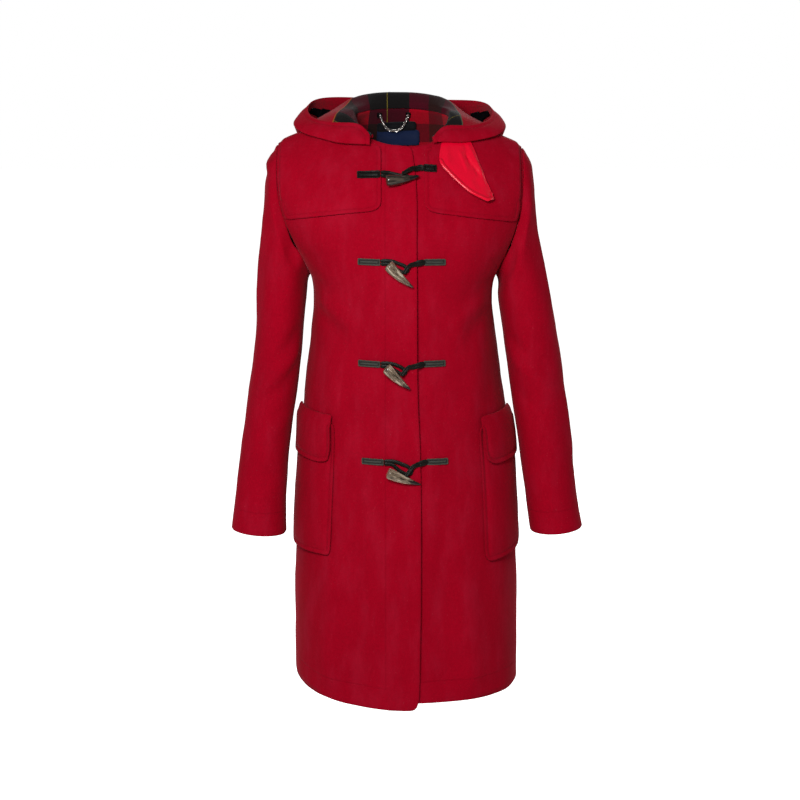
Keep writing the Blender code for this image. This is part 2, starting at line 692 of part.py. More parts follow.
def build_back_yoke():
    half = [share for share in BACK_SHARES if share < 0.99] + [YOKE_STOP]
    bottom = [level_at(BACK, share, BACK_YOKE_Z) for share in half]
    levels = yoke_levels(BACK, half, bottom)
    shares = np.tile(np.array(half), (len(levels), 1))
    grids = []
    for side in (WEARERS_RIGHT, WEARERS_LEFT):
        under, normals = coat(BACK, side, shares, levels, YOKE_LIFT)
        grids.append((under + normals * CLOTH, under))
    right, left = grids
    outer = np.concatenate([right[0][:, :0:-1], left[0]], axis=1)
    under = np.concatenate([right[1][:, :0:-1], left[1]], axis=1)
    return wall("yoke_back", outer, under, WOOL, 0.9)


# Pockets

Pocket = namedtuple("Pocket", "side inner_x top bottom_inner bottom_outer flap_top flap_bottom")
POCKETS = (
    Pocket(WEARERS_RIGHT, 0.1150, -0.476, -0.6860, -0.6900, -0.462, -0.5400),
    Pocket(WEARERS_LEFT, 0.1195, -0.480, -0.6990, -0.6900, -0.465, -0.5440),
)
POCKET_STOP = 0.982
POCKET_ROWS = 7
FLAP_ROWS = 5
POCKET_FULLNESS = 0.0032
SEWN_EDGE = 0.0002
FLAP_STOP = 0.988


def pocket_columns(first, last):
    """Columns of a pocket: its front edge, the panel's own columns, its back edge."""
    between = [share for share in SIDE_SHARES if first + 0.03 < share < last - 0.03]
    finer = []
    previous = first
    for share in [*between, last]:
        finer += [(previous + share) / 2, share]
        previous = share
    return [first, *finer]


def build_pocket(pocket):
    first = share_at(FRONT, pocket.inner_x, -0.58)
    columns = np.array(pocket_columns(first, POCKET_STOP))
    way = (columns - first) / (POCKET_STOP - first)
    bottom = pocket.bottom_inner + (pocket.bottom_outer - pocket.bottom_inner) * way
    steps = np.linspace(0.0, 1.0, POCKET_ROWS + 1)
    levels = np.array([bottom + (pocket.top - bottom) * step for step in steps])
    shares = np.tile(columns, (len(steps), 1))
    full = np.sin(math.pi * np.clip(way, 0, 1) ** 0.8)[None, :] ** 0.7
    swell = POCKET_FULLNESS * full * np.clip(1.25 - steps, 0, 1)[:, None]
    swell[:, -1] = POCKET_FULLNESS * 0.6
    lift = LAYER_GAP + swell
    lift[:, 0] = SEWN_EDGE
    name = "pocket_left" if pocket.side == WEARERS_LEFT else "pocket_right"
    return layer(name, FRONT, pocket.side, shares, levels, lift, CLOTH, WOOL, 0.9)


def build_flap(pocket):
    first = share_at(FRONT, pocket.inner_x - 0.0010, -0.50)
    columns = np.array(pocket_columns(first, FLAP_STOP))
    way = (columns - first) / (FLAP_STOP - first)
    corner = 0.010 * np.clip(1 - way / 0.16, 0, 1)**2
    steps = np.linspace(0.0, 1.0, FLAP_ROWS + 1)
    low = pocket.flap_bottom + corner + 0.004 * way
    levels = np.array([low + (pocket.flap_top - low) * step for step in steps])
    shares = np.tile(columns, (len(steps), 1))
    shares[0, 0] += 0.012
    over_pocket = LAYER_GAP + POCKET_FULLNESS + CLOTH + LAYER_GAP
    lift = SEWN_EDGE + (over_pocket - SEWN_EDGE) * ease((pocket.top + 0.010 - levels) / 0.010)
    name = "pocket_flap_left" if pocket.side == WEARERS_LEFT else "pocket_flap_right"
    return layer(name, FRONT, pocket.side, shares, levels, lift, CLOTH, WOOL, 0.9)


# Hood: rails from the neck seam, over its roll, down into the pouch and up to the rim.
# Each rail is a table along the hood, from its front end (0) to the centre back (1).
Rail = namedtuple("Rail", "along x y z")
ROLL = (
    Rail(0.0, 0.0490, -0.0716, -0.0331),
    Rail(0.1, 0.0620, -0.0585, -0.0250),
    Rail(0.2, 0.0785, -0.0445, -0.0080),
    Rail(0.3, 0.0905, -0.0330, -0.0015),
    Rail(0.4, 0.1025, -0.0090, 0.0020),
    Rail(0.5, 0.1040, 0.0260, 0.0020),
    Rail(0.6, 0.0970, 0.0510, 0.0090),
    Rail(0.7, 0.0860, 0.0660, 0.0190),
    Rail(0.8, 0.0680, 0.0730, 0.0270),
    Rail(0.9, 0.0380, 0.0750, 0.0300),
    Rail(1.0, 0.0000, 0.0750, 0.0300),
)
TROUGH = (
    Rail(0.0, 0.0505, -0.0805, -0.0426),
    Rail(0.1, 0.0680, -0.0762, -0.0370),
    Rail(0.2, 0.0920, -0.0620, -0.0350),
    Rail(0.3, 0.1170, -0.0415, -0.0270),
    Rail(0.4, 0.1400, -0.0160, -0.0190),
    Rail(0.5, 0.1440, 0.0220, -0.0180),
    Rail(0.6, 0.1320, 0.0600, -0.0260),
    Rail(0.7, 0.1170, 0.0900, -0.0500),
    Rail(0.8, 0.0900, 0.1140, -0.0850),
    Rail(0.9, 0.0500, 0.1280, -0.1180),
    Rail(1.0, 0.0000, 0.1320, -0.1300),
)
FOLD_LINE = (
    Rail(0.0, 0.0510, -0.0890, -0.0460),
    Rail(0.1, 0.0710, -0.0850, -0.0430),
    Rail(0.2, 0.1000, -0.0730, -0.0425),
    Rail(0.3, 0.1310, -0.0550, -0.0370),
    Rail(0.4, 0.1590, -0.0310, -0.0313),
    Rail(0.5, 0.1690, 0.0060, -0.0290),
    Rail(0.6, 0.1610, 0.0540, -0.0460),
    Rail(0.7, 0.1430, 0.1010, -0.0880),
    Rail(0.8, 0.1100, 0.1370, -0.1540),
    Rail(0.9, 0.0600, 0.1550, -0.2180),
    Rail(1.0, 0.0000, 0.1600, -0.2480),
)
BULGE = (
    Rail(0.0, 0.0505, -0.0878, -0.0367),
    Rail(0.1, 0.0670, -0.0820, -0.0290),
    Rail(0.2, 0.0880, -0.0716, -0.0240),
    Rail(0.3, 0.1160, -0.0552, -0.0228),
    Rail(0.4, 0.1490, -0.0316, -0.0210),
    Rail(0.5, 0.1690, 0.0060, -0.0140),
    Rail(0.6, 0.1690, 0.0500, -0.0090),
    Rail(0.7, 0.1590, 0.1030, -0.0260),
    Rail(0.8, 0.1300, 0.1520, -0.0620),
    Rail(0.9, 0.0740, 0.1810, -0.1000),
    Rail(1.0, 0.0000, 0.1900, -0.1180),
)
RIM = (
    Rail(0.0, 0.0500, -0.0785, -0.0300),
    Rail(0.1, 0.0575, -0.0690, -0.0200),
    Rail(0.2, 0.0700, -0.0595, -0.0115),
    Rail(0.3, 0.0970, -0.0520, -0.0115),
    Rail(0.4, 0.1295, -0.0245, -0.0130),
    Rail(0.5, 0.1480, 0.0100, -0.0040),
    Rail(0.6, 0.1510, 0.0480, 0.0080),
    Rail(0.7, 0.1390, 0.0860, 0.0150),
    Rail(0.8, 0.1090, 0.1140, 0.0160),
    Rail(0.9, 0.0620, 0.1330, 0.0130),
    Rail(1.0, 0.0000, 0.1400, 0.0100),
)
HOOD_START = 0.184
HOOD_STEPS = 3
FOLD_FROM = 0.54
FOLD_TIP = 0.66
FOLD_TO = 0.83
FOLD_CLOTH = (0.7, 0.56, 0.56, 0.7)
HOOD_ROWS = (0.0, 0.07, 0.13, 0.20, 0.31, 0.43, FOLD_FROM, 0.60, FOLD_TIP, 0.715, 0.77, FOLD_TO,
             0.91, 1.0)
LEFT_SPREAD = 0.985
LEFT_ROLL = 0.90
LEFT_END = 0.94
DRAW = {WEARERS_RIGHT: 0.88, WEARERS_LEFT: 0.72}
RAISE = {WEARERS_RIGHT: 0.0, WEARERS_LEFT: 0.005}
HOOD_CLEAR = 0.0050
UPPER_CLEAR = 0.0138
HOOD_SEAM_GAP = 0.0009
STAND = 0.0075


def neck_columns():
    """Places along the neck seam, half the hood, each cell of a panel cut in three."""
    front = [HOOD_START, 0.30, NECK_SHARE]
    back = [NECK_SHARE, 0.315, 0.21, 0.105, 0.0]
    places = []
    for face, shares in ((FRONT, front), (BACK, back)):
        for a, b in zip(shares, shares[1:]):
            for step in range(HOOD_STEPS):
                places.append((face, a, b, step / HOOD_STEPS))
    places.append((BACK, 0.0, 0.0, 0.0))
    return places


def seam_point(face, a, b, part, side):
    """A point on the straight between two corners of the panels' neck edge."""
    low = share_at(FRONT, YOKE_EDGE, NECK_LEVEL) if a == HOOD_START else a
    way = (a + (b - a) * part - low) / (b - low) if b != low else 0.0
    start, _ = coat(face, side, low, NECK_LEVEL)
    end, _ = coat(face, side, b, NECK_LEVEL)
    return start + (end - start) * way


def rail_point(rail, along, side):
    point = np.array([float(curve_through(rail, "along", axis, along)) for axis in "xyz"])
    if side == WEARERS_LEFT:
        spread = LEFT_ROLL if rail is ROLL else LEFT_SPREAD
        point[0] *= LEFT_END + (spread - LEFT_END) * float(ease(along * 4))
    point[0] *= side
    return point


def hood_profiles():
    """The rail points of every column, from the right front end to the left one."""
    places = neck_columns()
    count = len(places) - 1
    columns = []
    for side in (WEARERS_RIGHT, WEARERS_LEFT):
        half = []
        for i, (face, a, b, part) in enumerate(places):
            seam = seam_point(face, a, b, part, side)
            size = a + (b - a) * part
            seam = seam - neck_out(face, side, size) * HOOD_SEAM_GAP
            stand = seam + np.array([0.0, 0.0, STAND])
            rails = [rail_point(rail, i / count, side)
                     for rail in (ROLL, TROUGH, FOLD_LINE, BULGE, RIM)]
            near_end = 1 - float(ease(i / count / 0.45))
            for k in (1, 2, 3):
                rails[k] = seam + (rails[k] - seam) * (1 - (1 - DRAW[side]) * near_end)
                rails[k][2] += RAISE[side] * near_end
            half.append([seam, stand, *rails])
        columns.append(half)
    right, left = columns
    return np.array(right + left[-2::-1])


def hood_seam_offsets():
    """The hood's sewn edge is cut level: its thickness runs in towards the neck."""
    columns = []
    for side in (WEARERS_RIGHT, WEARERS_LEFT):
        half = [neck_out(face, side, a + (b - a) * part) for face, a, b, part in neck_columns()]
        columns.append(half)
    right, left = columns
    return np.array(right + left[-2::-1])


KNOTS = np.array([0.0, 0.07, 0.20, 0.43, 0.66, 0.83, 1.0])


def along_profile(knots, values, x):
    """Smooth curve through the rail points of one column."""
    slopes = np.gradient(values, knots, axis=0)
    i = min(int(np.searchsorted(knots, x, side="right")) - 1, len(knots) - 2)
    i = max(i, 0)
    width = knots[i + 1] - knots[i]
    t = (x - knots[i]) / width
    start = (2 * t**3 - 3 * t**2 + 1) * values[i] + (t**3 - 2 * t**2 + t) * width * slopes[i]
    end = (3 * t**2 - 2 * t**3) * values[i + 1] + (t**3 - t**2) * width * slopes[i + 1]
    return start + end


def hood_grid(rows):
    profiles = hood_profiles()
    grid = np.array([[along_profile(KNOTS, profile, row) for profile in profiles] for row in rows])
    return grid


def lay_clear(grid, rows, tree):
    """Lift the hood off the coat: its lower layer a little, its upper layer clear of the lower."""
    moved = grid.copy()
    for c in range(grid.shape[1]):
        carried = np.zeros(3)
        for r, row in enumerate(rows):
            if row < 0.15:
                continue
            clearance = HOOD_CLEAR + (UPPER_CLEAR - HOOD_CLEAR) * float(ease((row - 0.54) / 0.29))
            point = Vector(grid[r, c] + carried * 0.8)
            for _ in range(2):
                spot, normal, _, _ = tree.find_nearest(point)
                away = point - spot
                height = away.dot(normal)
                beside = (away - normal * height).length
                if height < clearance and beside < 0.004:
                    point = point + normal * min(clearance - height, 0.02)
            moved[r, c] = point
            carried = moved[r, c] - grid[r, c]
    return moved


def coat_tree():
    """The outer face of yokes and body, as one surface to lie on."""
    shares = np.array([0.0, 0.06, 0.12, 0.18, 0.24, *SIDE_SHARES])
    levels = np.array([-0.40, -0.345, -0.305, -0.257, -0.227, -0.19, *LEVELS[LEVELS >= ARM_TOP - 0.001]])
    share_grid, level_grid = np.meshgrid(shares, levels)
    rows, columns = share_grid.shape
    points = []
    polygons = []
    for face in (FRONT, BACK):
        for side in (WEARERS_LEFT, WEARERS_RIGHT):
            outer, _ = coat(face, side, share_grid, level_grid, YOKE_LIFT + CLOTH)
            first = len(points)
            points += [Vector(point) for point in outer.reshape(-1, 3)]
            for r in range(rows - 1):
                for c in range(columns - 1):
                    corner = first + r * columns + c
                    quad = [corner, corner + 1, corner + columns + 1, corner + columns]
                    polygons.append(quad if side * face < 0 else quad[::-1])
    return BVHTree.FromPolygons(points, polygons)


def round_fold(grid, rows):
    """Turn the hood's lowest edge as a round nose between its lower and its upper layer."""
    rounded = grid.copy()
    low = rows.index(FOLD_FROM)
    high = rows.index(FOLD_TO)
    start = grid[low]
    end = grid[high]
    leave = unit(grid[low] - grid[low - 1])
    arrive = unit(grid[high + 1] - grid[high])
    tip = grid[rows.index(FOLD_TIP)]
    reach = 4 * np.sum((tip - (start + end) / 2) * leave, axis=-1, keepdims=True)
    reach = np.maximum(reach, 0.014)
    for r in range(low + 1, high):
        t = (rows[r] - FOLD_FROM) / (FOLD_TO - FOLD_FROM)
        rounded[r] = ((2 * t**3 - 3 * t**2 + 1) * start + (t**3 - 2 * t**2 + t) * reach * leave
                      + (3 * t**2 - 2 * t**3) * end + (t**3 - t**2) * reach * arrive)
    return rounded


def hood_surface(rows):
    """Outer points and normals of the hood, lying clear of the coat."""
    rows = list(rows)
    grid = round_fold(lay_clear(hood_grid(rows), rows, coat_tree()), rows)
    along = np.gradient(grid, np.array(rows), axis=0)
    normals = unit(np.cross(along, np.gradient(grid, axis=1)))
    return grid, normals


def build_hood():
    outer, normals = hood_surface(HOOD_ROWS)
    offsets = normals.copy()
    offsets[0] = hood_seam_offsets()
    for r, row in enumerate(HOOD_ROWS):
        if FOLD_FROM < row < FOLD_TO:
            offsets[r] *= FOLD_CLOTH[r - HOOD_ROWS.index(FOLD_FROM) - 1]
    return wall("hood", outer, outer - offsets * HOOD_CLOTH, WOOL, 0.9)


# Trim of the closure

Fastening = namedtuple("Fastening",
                       "loop_z strap_z patch_end blunt_x blunt_z tip_x tip_z base above_cord grip")
ON_YOKE = YOKE_LIFT + CLOTH
FASTENINGS = (
    Fastening(-0.0880, -0.0770, 0.0520, -0.0250, -0.1010, 0.0250, -0.0915, ON_YOKE, 0.0006, 0.0089),
    Fastening(-0.2151, -0.2151, 0.0650, -0.0223, -0.2183, 0.0138, -0.2527, 0.0, 0.0003, 0.0066),
    Fastening(-0.3743, -0.3743, 0.0650, -0.0250, -0.3775, 0.0100, -0.4120, 0.0, -0.0002, 0.0063),
    Fastening(-0.5289, -0.5289, 0.0650, -0.0280, -0.5440, 0.0220, -0.5640, 0.0, -0.0020, 0.0051),
)
PATCH_HEIGHT = 0.0100
LOOP_PATCH = (0.0345, 0.0690)
TOGGLE_PATCH = 0.0315
CORD = 0.0016
STRAP_WIDTH = 0.0058
STRAP_THICKNESS = 0.0016
TOGGLE_RADIUS = 0.0086


def on_front(side, x, z, lift):
    """A point above a front, given by its place as seen from the front."""
    share = 0.0
    level = z
    own_x = side * x
    for _ in range(4):
        share = share_at(FRONT, own_x, level)
        level = level_at(FRONT, abs(share), z)
    point, normal = coat(FRONT, side, share, level, lift)
    return point, normal


def leather_patch(name, side, inner_x, outer_x, z, base):
    xs = np.linspace(inner_x, outer_x, 4)
    rows = []
    for height in (z - PATCH_HEIGHT / 2, z + PATCH_HEIGHT / 2):
        rows.append([on_front(side, side * x, height, base + 0.0005) for x in xs])
    under = np.array([[point for point, _ in row] for row in rows])
    normals = np.array([[normal for _, normal in row] for row in rows])
    return wall(name, under + normals * LEATHER, under, DARK_LEATHER, 0.45)


def tube(name, points, radius, colour, roughness, metallic=0.0, cyclic=False):
    curve = bpy.data.curves.new(name, "CURVE")
    curve.dimensions = "3D"
    curve.bevel_depth = radius
    curve.bevel_resolution = 1
    curve.use_fill_caps = not cyclic
    spline = curve.splines.new("POLY")
    spline.points.add(len(points) - 1)
    for place, point in zip(spline.points, settled(points)):
        place.co = (*point, 1.0)
    spline.use_cyclic_u = cyclic
    curve.materials.append(finish(name, colour, roughness, metallic))
    item = bpy.data.objects.new(name, curve)
    bpy.context.scene.collection.objects.link(item)
    return item


def smooth_path(points, count):
    """A smooth curve through a few points, read at equal steps."""
    points = np.array(points)
    knots = np.concatenate([[0], np.cumsum(np.linalg.norm(np.diff(points, axis=0), axis=1))])
    return [along_profile(knots, points, x) for x in np.linspace(0, knots[-1], count)]


def build_fastening(number, spec):
    right, left = WEARERS_RIGHT, WEARERS_LEFT
    base = spec.base
    leather_patch(f"loop_patch_{number}", right, *LOOP_PATCH, spec.loop_z, base)
    leather_patch(f"toggle_patch_{number}", left, TOGGLE_PATCH, spec.patch_end, spec.strap_z, base)
    middle_x = (spec.blunt_x + spec.tip_x) / 2
    middle_z = (spec.blunt_z + spec.tip_z) / 2
    lap_edge = 0.0215
    eye = min(middle_x + 0.010, lap_edge - 0.008)
    flat = CORD + 0.0005
    z = spec.loop_z
    low = middle_z - z

    def top(x, height, lift):
        """Above the front that is on top at x; near the yokes also above them."""
        side = right if x < lap_edge else left
        extra = base * float(ease((abs(x) - 0.024) / 0.009))
        return on_front(side, x, height, lift + extra)[0]

    start = -LOOP_PATCH[0] + 0.0020
    loop = [top(start, z + 0.0022, flat), top(-0.020, z + 0.0024, flat),
            top(-0.006, z + low * 0.1, flat), top(eye - 0.001, z + low * 0.35, flat),
            top(eye + 0.0022, z + low * 0.60, flat), top(eye - 0.0030, z + low * 0.72, flat),
            top(-0.010, z + low * 0.50, flat), top(-0.022, z - 0.0024, flat),
            top(start, z - 0.0022, flat)]
    tube(f"loop_cord_{number}", smooth_path(loop, 20), CORD, DARK_LEATHER, 0.45)

    over_cord = flat + CORD + spec.above_cord + TOGGLE_RADIUS
    centre = top(middle_x, middle_z, over_cord)
    blunt = top(spec.blunt_x, spec.blunt_z, over_cord)
    tip = top(spec.tip_x, spec.tip_z, over_cord - TOGGLE_RADIUS * 0.3)
    build_toggle(f"toggle_{number}", blunt, centre, tip)

    over = 2 * CORD + 0.0014
    fall = middle_z - spec.strap_z
    route = [on_front(left, TOGGLE_PATCH - 0.0008, spec.strap_z, base + 0.0018)[0],
             on_front(left, 0.0270, spec.strap_z, max(base, LAP_LIFT) + 0.0010)[0],
             on_front(left, 0.0235, spec.strap_z + fall * 0.03, LAP_LIFT + 0.0016)[0],
             on_front(right, 0.0180, spec.strap_z + fall * 0.12, 0.0022)[0],
             on_front(right, eye + 0.0060, spec.strap_z + fall * 0.15, over)[0]]
    way = route[-1] - centre
    axis = unit(tip - blunt)
    way = way - axis * way.dot(axis)
    end = centre + way * spec.grip / np.linalg.norm(way)
    strap(f"toggle_cord_{number}", smooth_path([*route, end], 12))


def strap(name, path):
    """A narrow leather strap along a path, flat to the cloth."""
    path = np.array(path)
    along = unit(np.gradient(path, axis=0))
    out = np.array([0.0, -1.0, 0.0]) - along * (along @ np.array([0.0, -1.0, 0.0]))[:, None]
    out = unit(out)
    across = np.cross(out, along)
    under = np.array([path - across * STRAP_WIDTH / 2, path + across * STRAP_WIDTH / 2])
    return wall(name, under + out * STRAP_THICKNESS, under, DARK_LEATHER, 0.45)


Turned = namedtuple("Turned", "at radius")
TOGGLE_PROFILE = (
    Turned(0.00, 0.84), Turned(0.025, 0.98), Turned(0.10, 1.00), Turned(0.30, 0.87),
    Turned(0.48, 0.73), Turned(0.66, 0.56), Turned(0.82, 0.38), Turned(0.94, 0.20), Turned(1.00, 0.08),
)
TOGGLE_SIDES = 8


def build_toggle(name, blunt, centre, tip):
    """A horn tip: blunt at one end, tapered and slightly bent to the other."""
    axis = tip - blunt
    length = np.linalg.norm(axis)
    axis = axis / length
    out = np.array([0.0, -1.0, 0.0])
    out = unit(out - axis * out.dot(axis))
    across = np.cross(axis, out)
    bm = bmesh.new()
    rings = []
    for row in TOGGLE_PROFILE:
        bend = 0.0016 * (4 * row.at * (1 - row.at) - 0.5)
        middle = blunt + axis * length * row.at + out * bend * 0.4 + across * bend
        ring = []
        for k in range(TOGGLE_SIDES):
            angle = 2 * math.pi * k / TOGGLE_SIDES
            spread = math.cos(angle) * across + math.sin(angle) * out
            ring.append(bm.verts.new(settled(middle + spread * TOGGLE_RADIUS * row.radius)))
        rings.append(ring)
    for a, b in zip(rings, rings[1:]):
        for k in range(TOGGLE_SIDES):
            d = (k + 1) % TOGGLE_SIDES
            bm.faces.new((a[k], a[d], b[d], b[k]))
    bm.faces.new(rings[0])
    bm.faces.new(rings[-1])
    bmesh.ops.recalc_face_normals(bm, faces=bm.faces)
    mesh = bpy.data.meshes.new(name)
    bm.to_mesh(mesh)
    bm.free()
    mesh.shade_smooth()
    return add_object(name, mesh, HORN, 0.35)


# Throat tab: a four-cornered tab that hangs from under the hood, satin side out
TabRow = namedtuple("TabRow", "left_x left_z right_x right_z")
TAB_ROWS = (
    TabRow(0.0613, -0.0400, 0.1045, -0.0330),
    TabRow(0.0540, -0.0700, 0.1180, -0.0600),
    TabRow(0.0770, -0.0915, 0.1290, -0.0850),
    TabRow(0.1020, -0.1120, 0.1375, -0.1060),
    TabRow(0.1300, -0.1260, 0.1430, -0.1225),
)
TAB_LIFT = ON_YOKE + 0.0013
TAB_WOOL = 0.0013
TAB_SATIN = 0.0010


def build_throat_tab():
    rows = []
    for down, ends in enumerate(TAB_ROWS):
        row = []
        for across in np.linspace(0.0, 1.0, 6):
            x = ends.left_x + (ends.right_x - ends.left_x) * across
            z = ends.left_z + (ends.right_z - ends.left_z) * across
            curl = 0.0016 * down * (1 - across) + 0.0008 * down * math.sin(math.pi * across)
            row.append(on_front(WEARERS_LEFT, x, z, TAB_LIFT + curl))
        rows.append(row)
    under = np.array([[point for point, _ in row] for row in rows])
    normals = np.array([[normal for _, normal in row] for row in rows])
    wall("throat_tab", under + normals * TAB_WOOL, under, WOOL, 0.9)
    seat = under + normals * (TAB_WOOL + 0.0003)
    wall("throat_tab_facing", seat + normals * TAB_SATIN, seat, SATIN, 0.35)


# Inside the neck: labels, hanger

def back_inside(x, z, depth):
    """A point inside the back panel, depth further in than its inner face."""
    side = WEARERS_LEFT if x >= 0 else WEARERS_RIGHT
    share = 0.0
    level = z
    for _ in range(4):
        share = share_at(BACK, abs(x), level)
        level = level_at(BACK, share, z)
    point, normal = coat(BACK, side, share, level, -CLOTH - depth)
    return point, normal


Label = namedtuple("Label", "name left right top bottom slope depth colour")
LABELS = (
    Label("size_label", -0.0430, 0.0215, -0.0175, -0.0325, 0.05, 0.0036, BLACK),
    Label("maker_label", -0.0430, 0.0270, -0.0300, -0.0570, 0.01, 0.0018, NAVY),
)
LABEL_CLOTH = 0.0010


def build_label(label):
    rows = []
    for z in np.linspace(label.bottom, label.top, 4):
        row = []
        for x in np.linspace(label.left, label.right, 7):
            tilt = (x - label.left) * label.slope
            row.append(back_inside(x, z + tilt, label.depth))
        rows.append(row)
    out = np.array([[point for point, _ in row] for row in rows])
    normals = np.array([[normal for _, normal in row] for row in rows])
    wall(label.name, out, out - normals * LABEL_CLOTH, label.colour, 0.8)


CHAIN_LEFT = -0.0385
CHAIN_RIGHT = 0.0085
CHAIN_TOP = -0.0010
CHAIN_SAG = 0.0235
CHAIN_RADIUS = 0.0019


def build_hanger():
    """The chain hangs in a curve between two leather tabs on the back neck."""
    count = 15
    points = []
    for i in range(count):
        way = i / (count - 1)
        x = CHAIN_LEFT + 0.0015 + (CHAIN_RIGHT - CHAIN_LEFT - 0.003) * way
        drop = CHAIN_SAG * (1 - (2 * way - 1)**2)
        depth = CHAIN_RADIUS + 0.0036 + 0.0026 * math.sin(math.pi * way)
        points.append(back_inside(x, CHAIN_TOP - 0.0035 - drop, depth)[0])
    tube("hanger_chain", points, CHAIN_RADIUS, STEEL, 0.25, 1.0)
    for name, x in (("hanger_tab_right", CHAIN_LEFT), ("hanger_tab_left", CHAIN_RIGHT)):
        rows = []
        for z in (CHAIN_TOP - 0.0090, CHAIN_TOP):
            rows.append([back_inside(x + dx, z, 0.0018) for dx in (-0.004, 0.0, 0.004)])
        out = np.array([[point for point, _ in row] for row in rows])
        normals = np.array([[normal for _, normal in row] for row in rows])
        wall(name, out, out - normals * 0.0014, BLACK, 0.4)


# Adjuster inside the hood: a short strap and its buckle on each side
Fitting = namedtuple("Fitting", "name along_a along_b row_a row_b depth thickness")
FITTINGS = (
    Fitting("hood_strap", 0.690, 0.810, 0.905, 0.945, 0.0009, 0.0014),
    Fitting("hood_buckle", 0.745, 0.790, 0.895, 0.955, 0.0028, 0.0018),
)


def build_fitting(fitting, side):
    """A thin plate on the inner face of the hood, just below its rim."""
    rows = sorted({*HOOD_ROWS, fitting.row_a, fitting.row_b})
    outer, normals = hood_surface(rows)
    columns = outer.shape[1]
    middle = (columns - 1) / 2
    places = np.linspace(fitting.along_a, fitting.along_b, 7) * middle
    if side == WEARERS_LEFT:
        places = columns - 1 - places
    grid = []
    for r in (rows.index(fitting.row_a), rows.index(fitting.row_b)):
        line = []
        for place in places:
            i = int(place)
            part = place - i
            point = outer[r, i] * (1 - part) + outer[r, i + 1] * part
            normal = unit(normals[r, i] * (1 - part) + normals[r, i + 1] * part)
            line.append((point, normal))
        grid.append(line)
    points = np.array([[point for point, _ in line] for line in grid])
    ways = np.array([[normal for _, normal in line] for line in grid])
    near = points - ways * (HOOD_CLOTH + fitting.depth)
    word = "left" if side == WEARERS_LEFT else "right"
    wall(f"{fitting.name}_{word}", near, near - ways * fitting.thickness, BLACK, 0.3)


def main():
    for item in list(bpy.data.objects):
        bpy.data.objects.remove(item)
    build_back()
    for side in (WEARERS_RIGHT, WEARERS_LEFT):
        build_front(side)
        build_sleeve(side)
        build_front_yoke(side)
    build_back_yoke()
    for pocket in POCKETS:
        build_pocket(pocket)
        build_flap(pocket)
    build_hood()
    for number, spec in enumerate(FASTENINGS, start=1):
        build_fastening(number, spec)
    build_throat_tab()
    for label in LABELS:
        build_label(label)
    build_hanger()
    for fitting in FITTINGS:
        for side in (WEARERS_RIGHT, WEARERS_LEFT):
            build_fitting(fitting, side)


main()
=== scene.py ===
# %% [markdown]
# # A duffle coat, dressed
#
# The coat's solids arrive as plain closed walls of cloth. This notebook turns them into
# wool, leather, horn and satin. It starts by loading the solids as a fixed frame.

import math
from collections import namedtuple

import bmesh
import bpy
import numpy as np
from mathutils import Matrix, Vector, kdtree, noise


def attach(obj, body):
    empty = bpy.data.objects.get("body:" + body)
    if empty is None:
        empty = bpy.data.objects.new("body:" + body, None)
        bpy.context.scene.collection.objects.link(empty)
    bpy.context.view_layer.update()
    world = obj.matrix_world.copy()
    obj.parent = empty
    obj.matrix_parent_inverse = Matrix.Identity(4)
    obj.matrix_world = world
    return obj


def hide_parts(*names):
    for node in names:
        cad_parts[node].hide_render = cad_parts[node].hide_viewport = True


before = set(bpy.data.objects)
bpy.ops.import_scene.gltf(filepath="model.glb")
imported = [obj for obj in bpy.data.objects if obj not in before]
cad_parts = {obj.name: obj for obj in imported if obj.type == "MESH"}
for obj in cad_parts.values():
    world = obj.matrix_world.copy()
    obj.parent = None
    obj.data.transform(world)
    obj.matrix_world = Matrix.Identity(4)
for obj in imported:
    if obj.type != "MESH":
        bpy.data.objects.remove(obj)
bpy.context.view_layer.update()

# %% [markdown]
# ## Camera, floor and light
#
# The coat is seen from straight in front and a little above, from about three and a half
# metres, so its lines stay nearly parallel. A large pale floor lies below the hem. One
# soft lamp hangs close in front, so that the middle of the coat is brightest and its
# flanks and hem fall off. Two weak lamps at the sides and a strong one behind light the
# edges that turn away, and the room adds a little light of its own.

# %% Place the camera
RISE = math.radians(12.5)
DISTANCE = 3.4
AIM_X = -0.0048
AIM_Z = -0.4617
METRES_PER_PIXEL = 0.001615
PIXELS = 800
SENSOR = 36.0


def add_object(name, data):
    item = bpy.data.objects.new(name, data)
    bpy.context.scene.collection.objects.link(item)
    return item


camera_data = bpy.data.cameras.new("camera")
camera_data.sensor_width = SENSOR
camera_data.lens = SENSOR * (DISTANCE / METRES_PER_PIXEL) / PIXELS
camera = add_object("camera", camera_data)
camera.location = (AIM_X, -DISTANCE * math.cos(RISE), AIM_Z + DISTANCE * math.sin(RISE))
camera.rotation_euler = (math.pi / 2 - RISE, 0.0, 0.0)
bpy.context.scene.camera = camera
print("lens:", round(camera_data.lens, 2))

# %% Lay the floor
FLOOR_Z = -1.30
FLOOR_BACK = 2.0
FLOOR_HALF = 9.0


def mesh_from(bm, name):
    """Turn a bmesh into a mesh, and free it."""
    mesh = bpy.data.meshes.new(name)
    bm.to_mesh(mesh)
    bm.free()
    return mesh


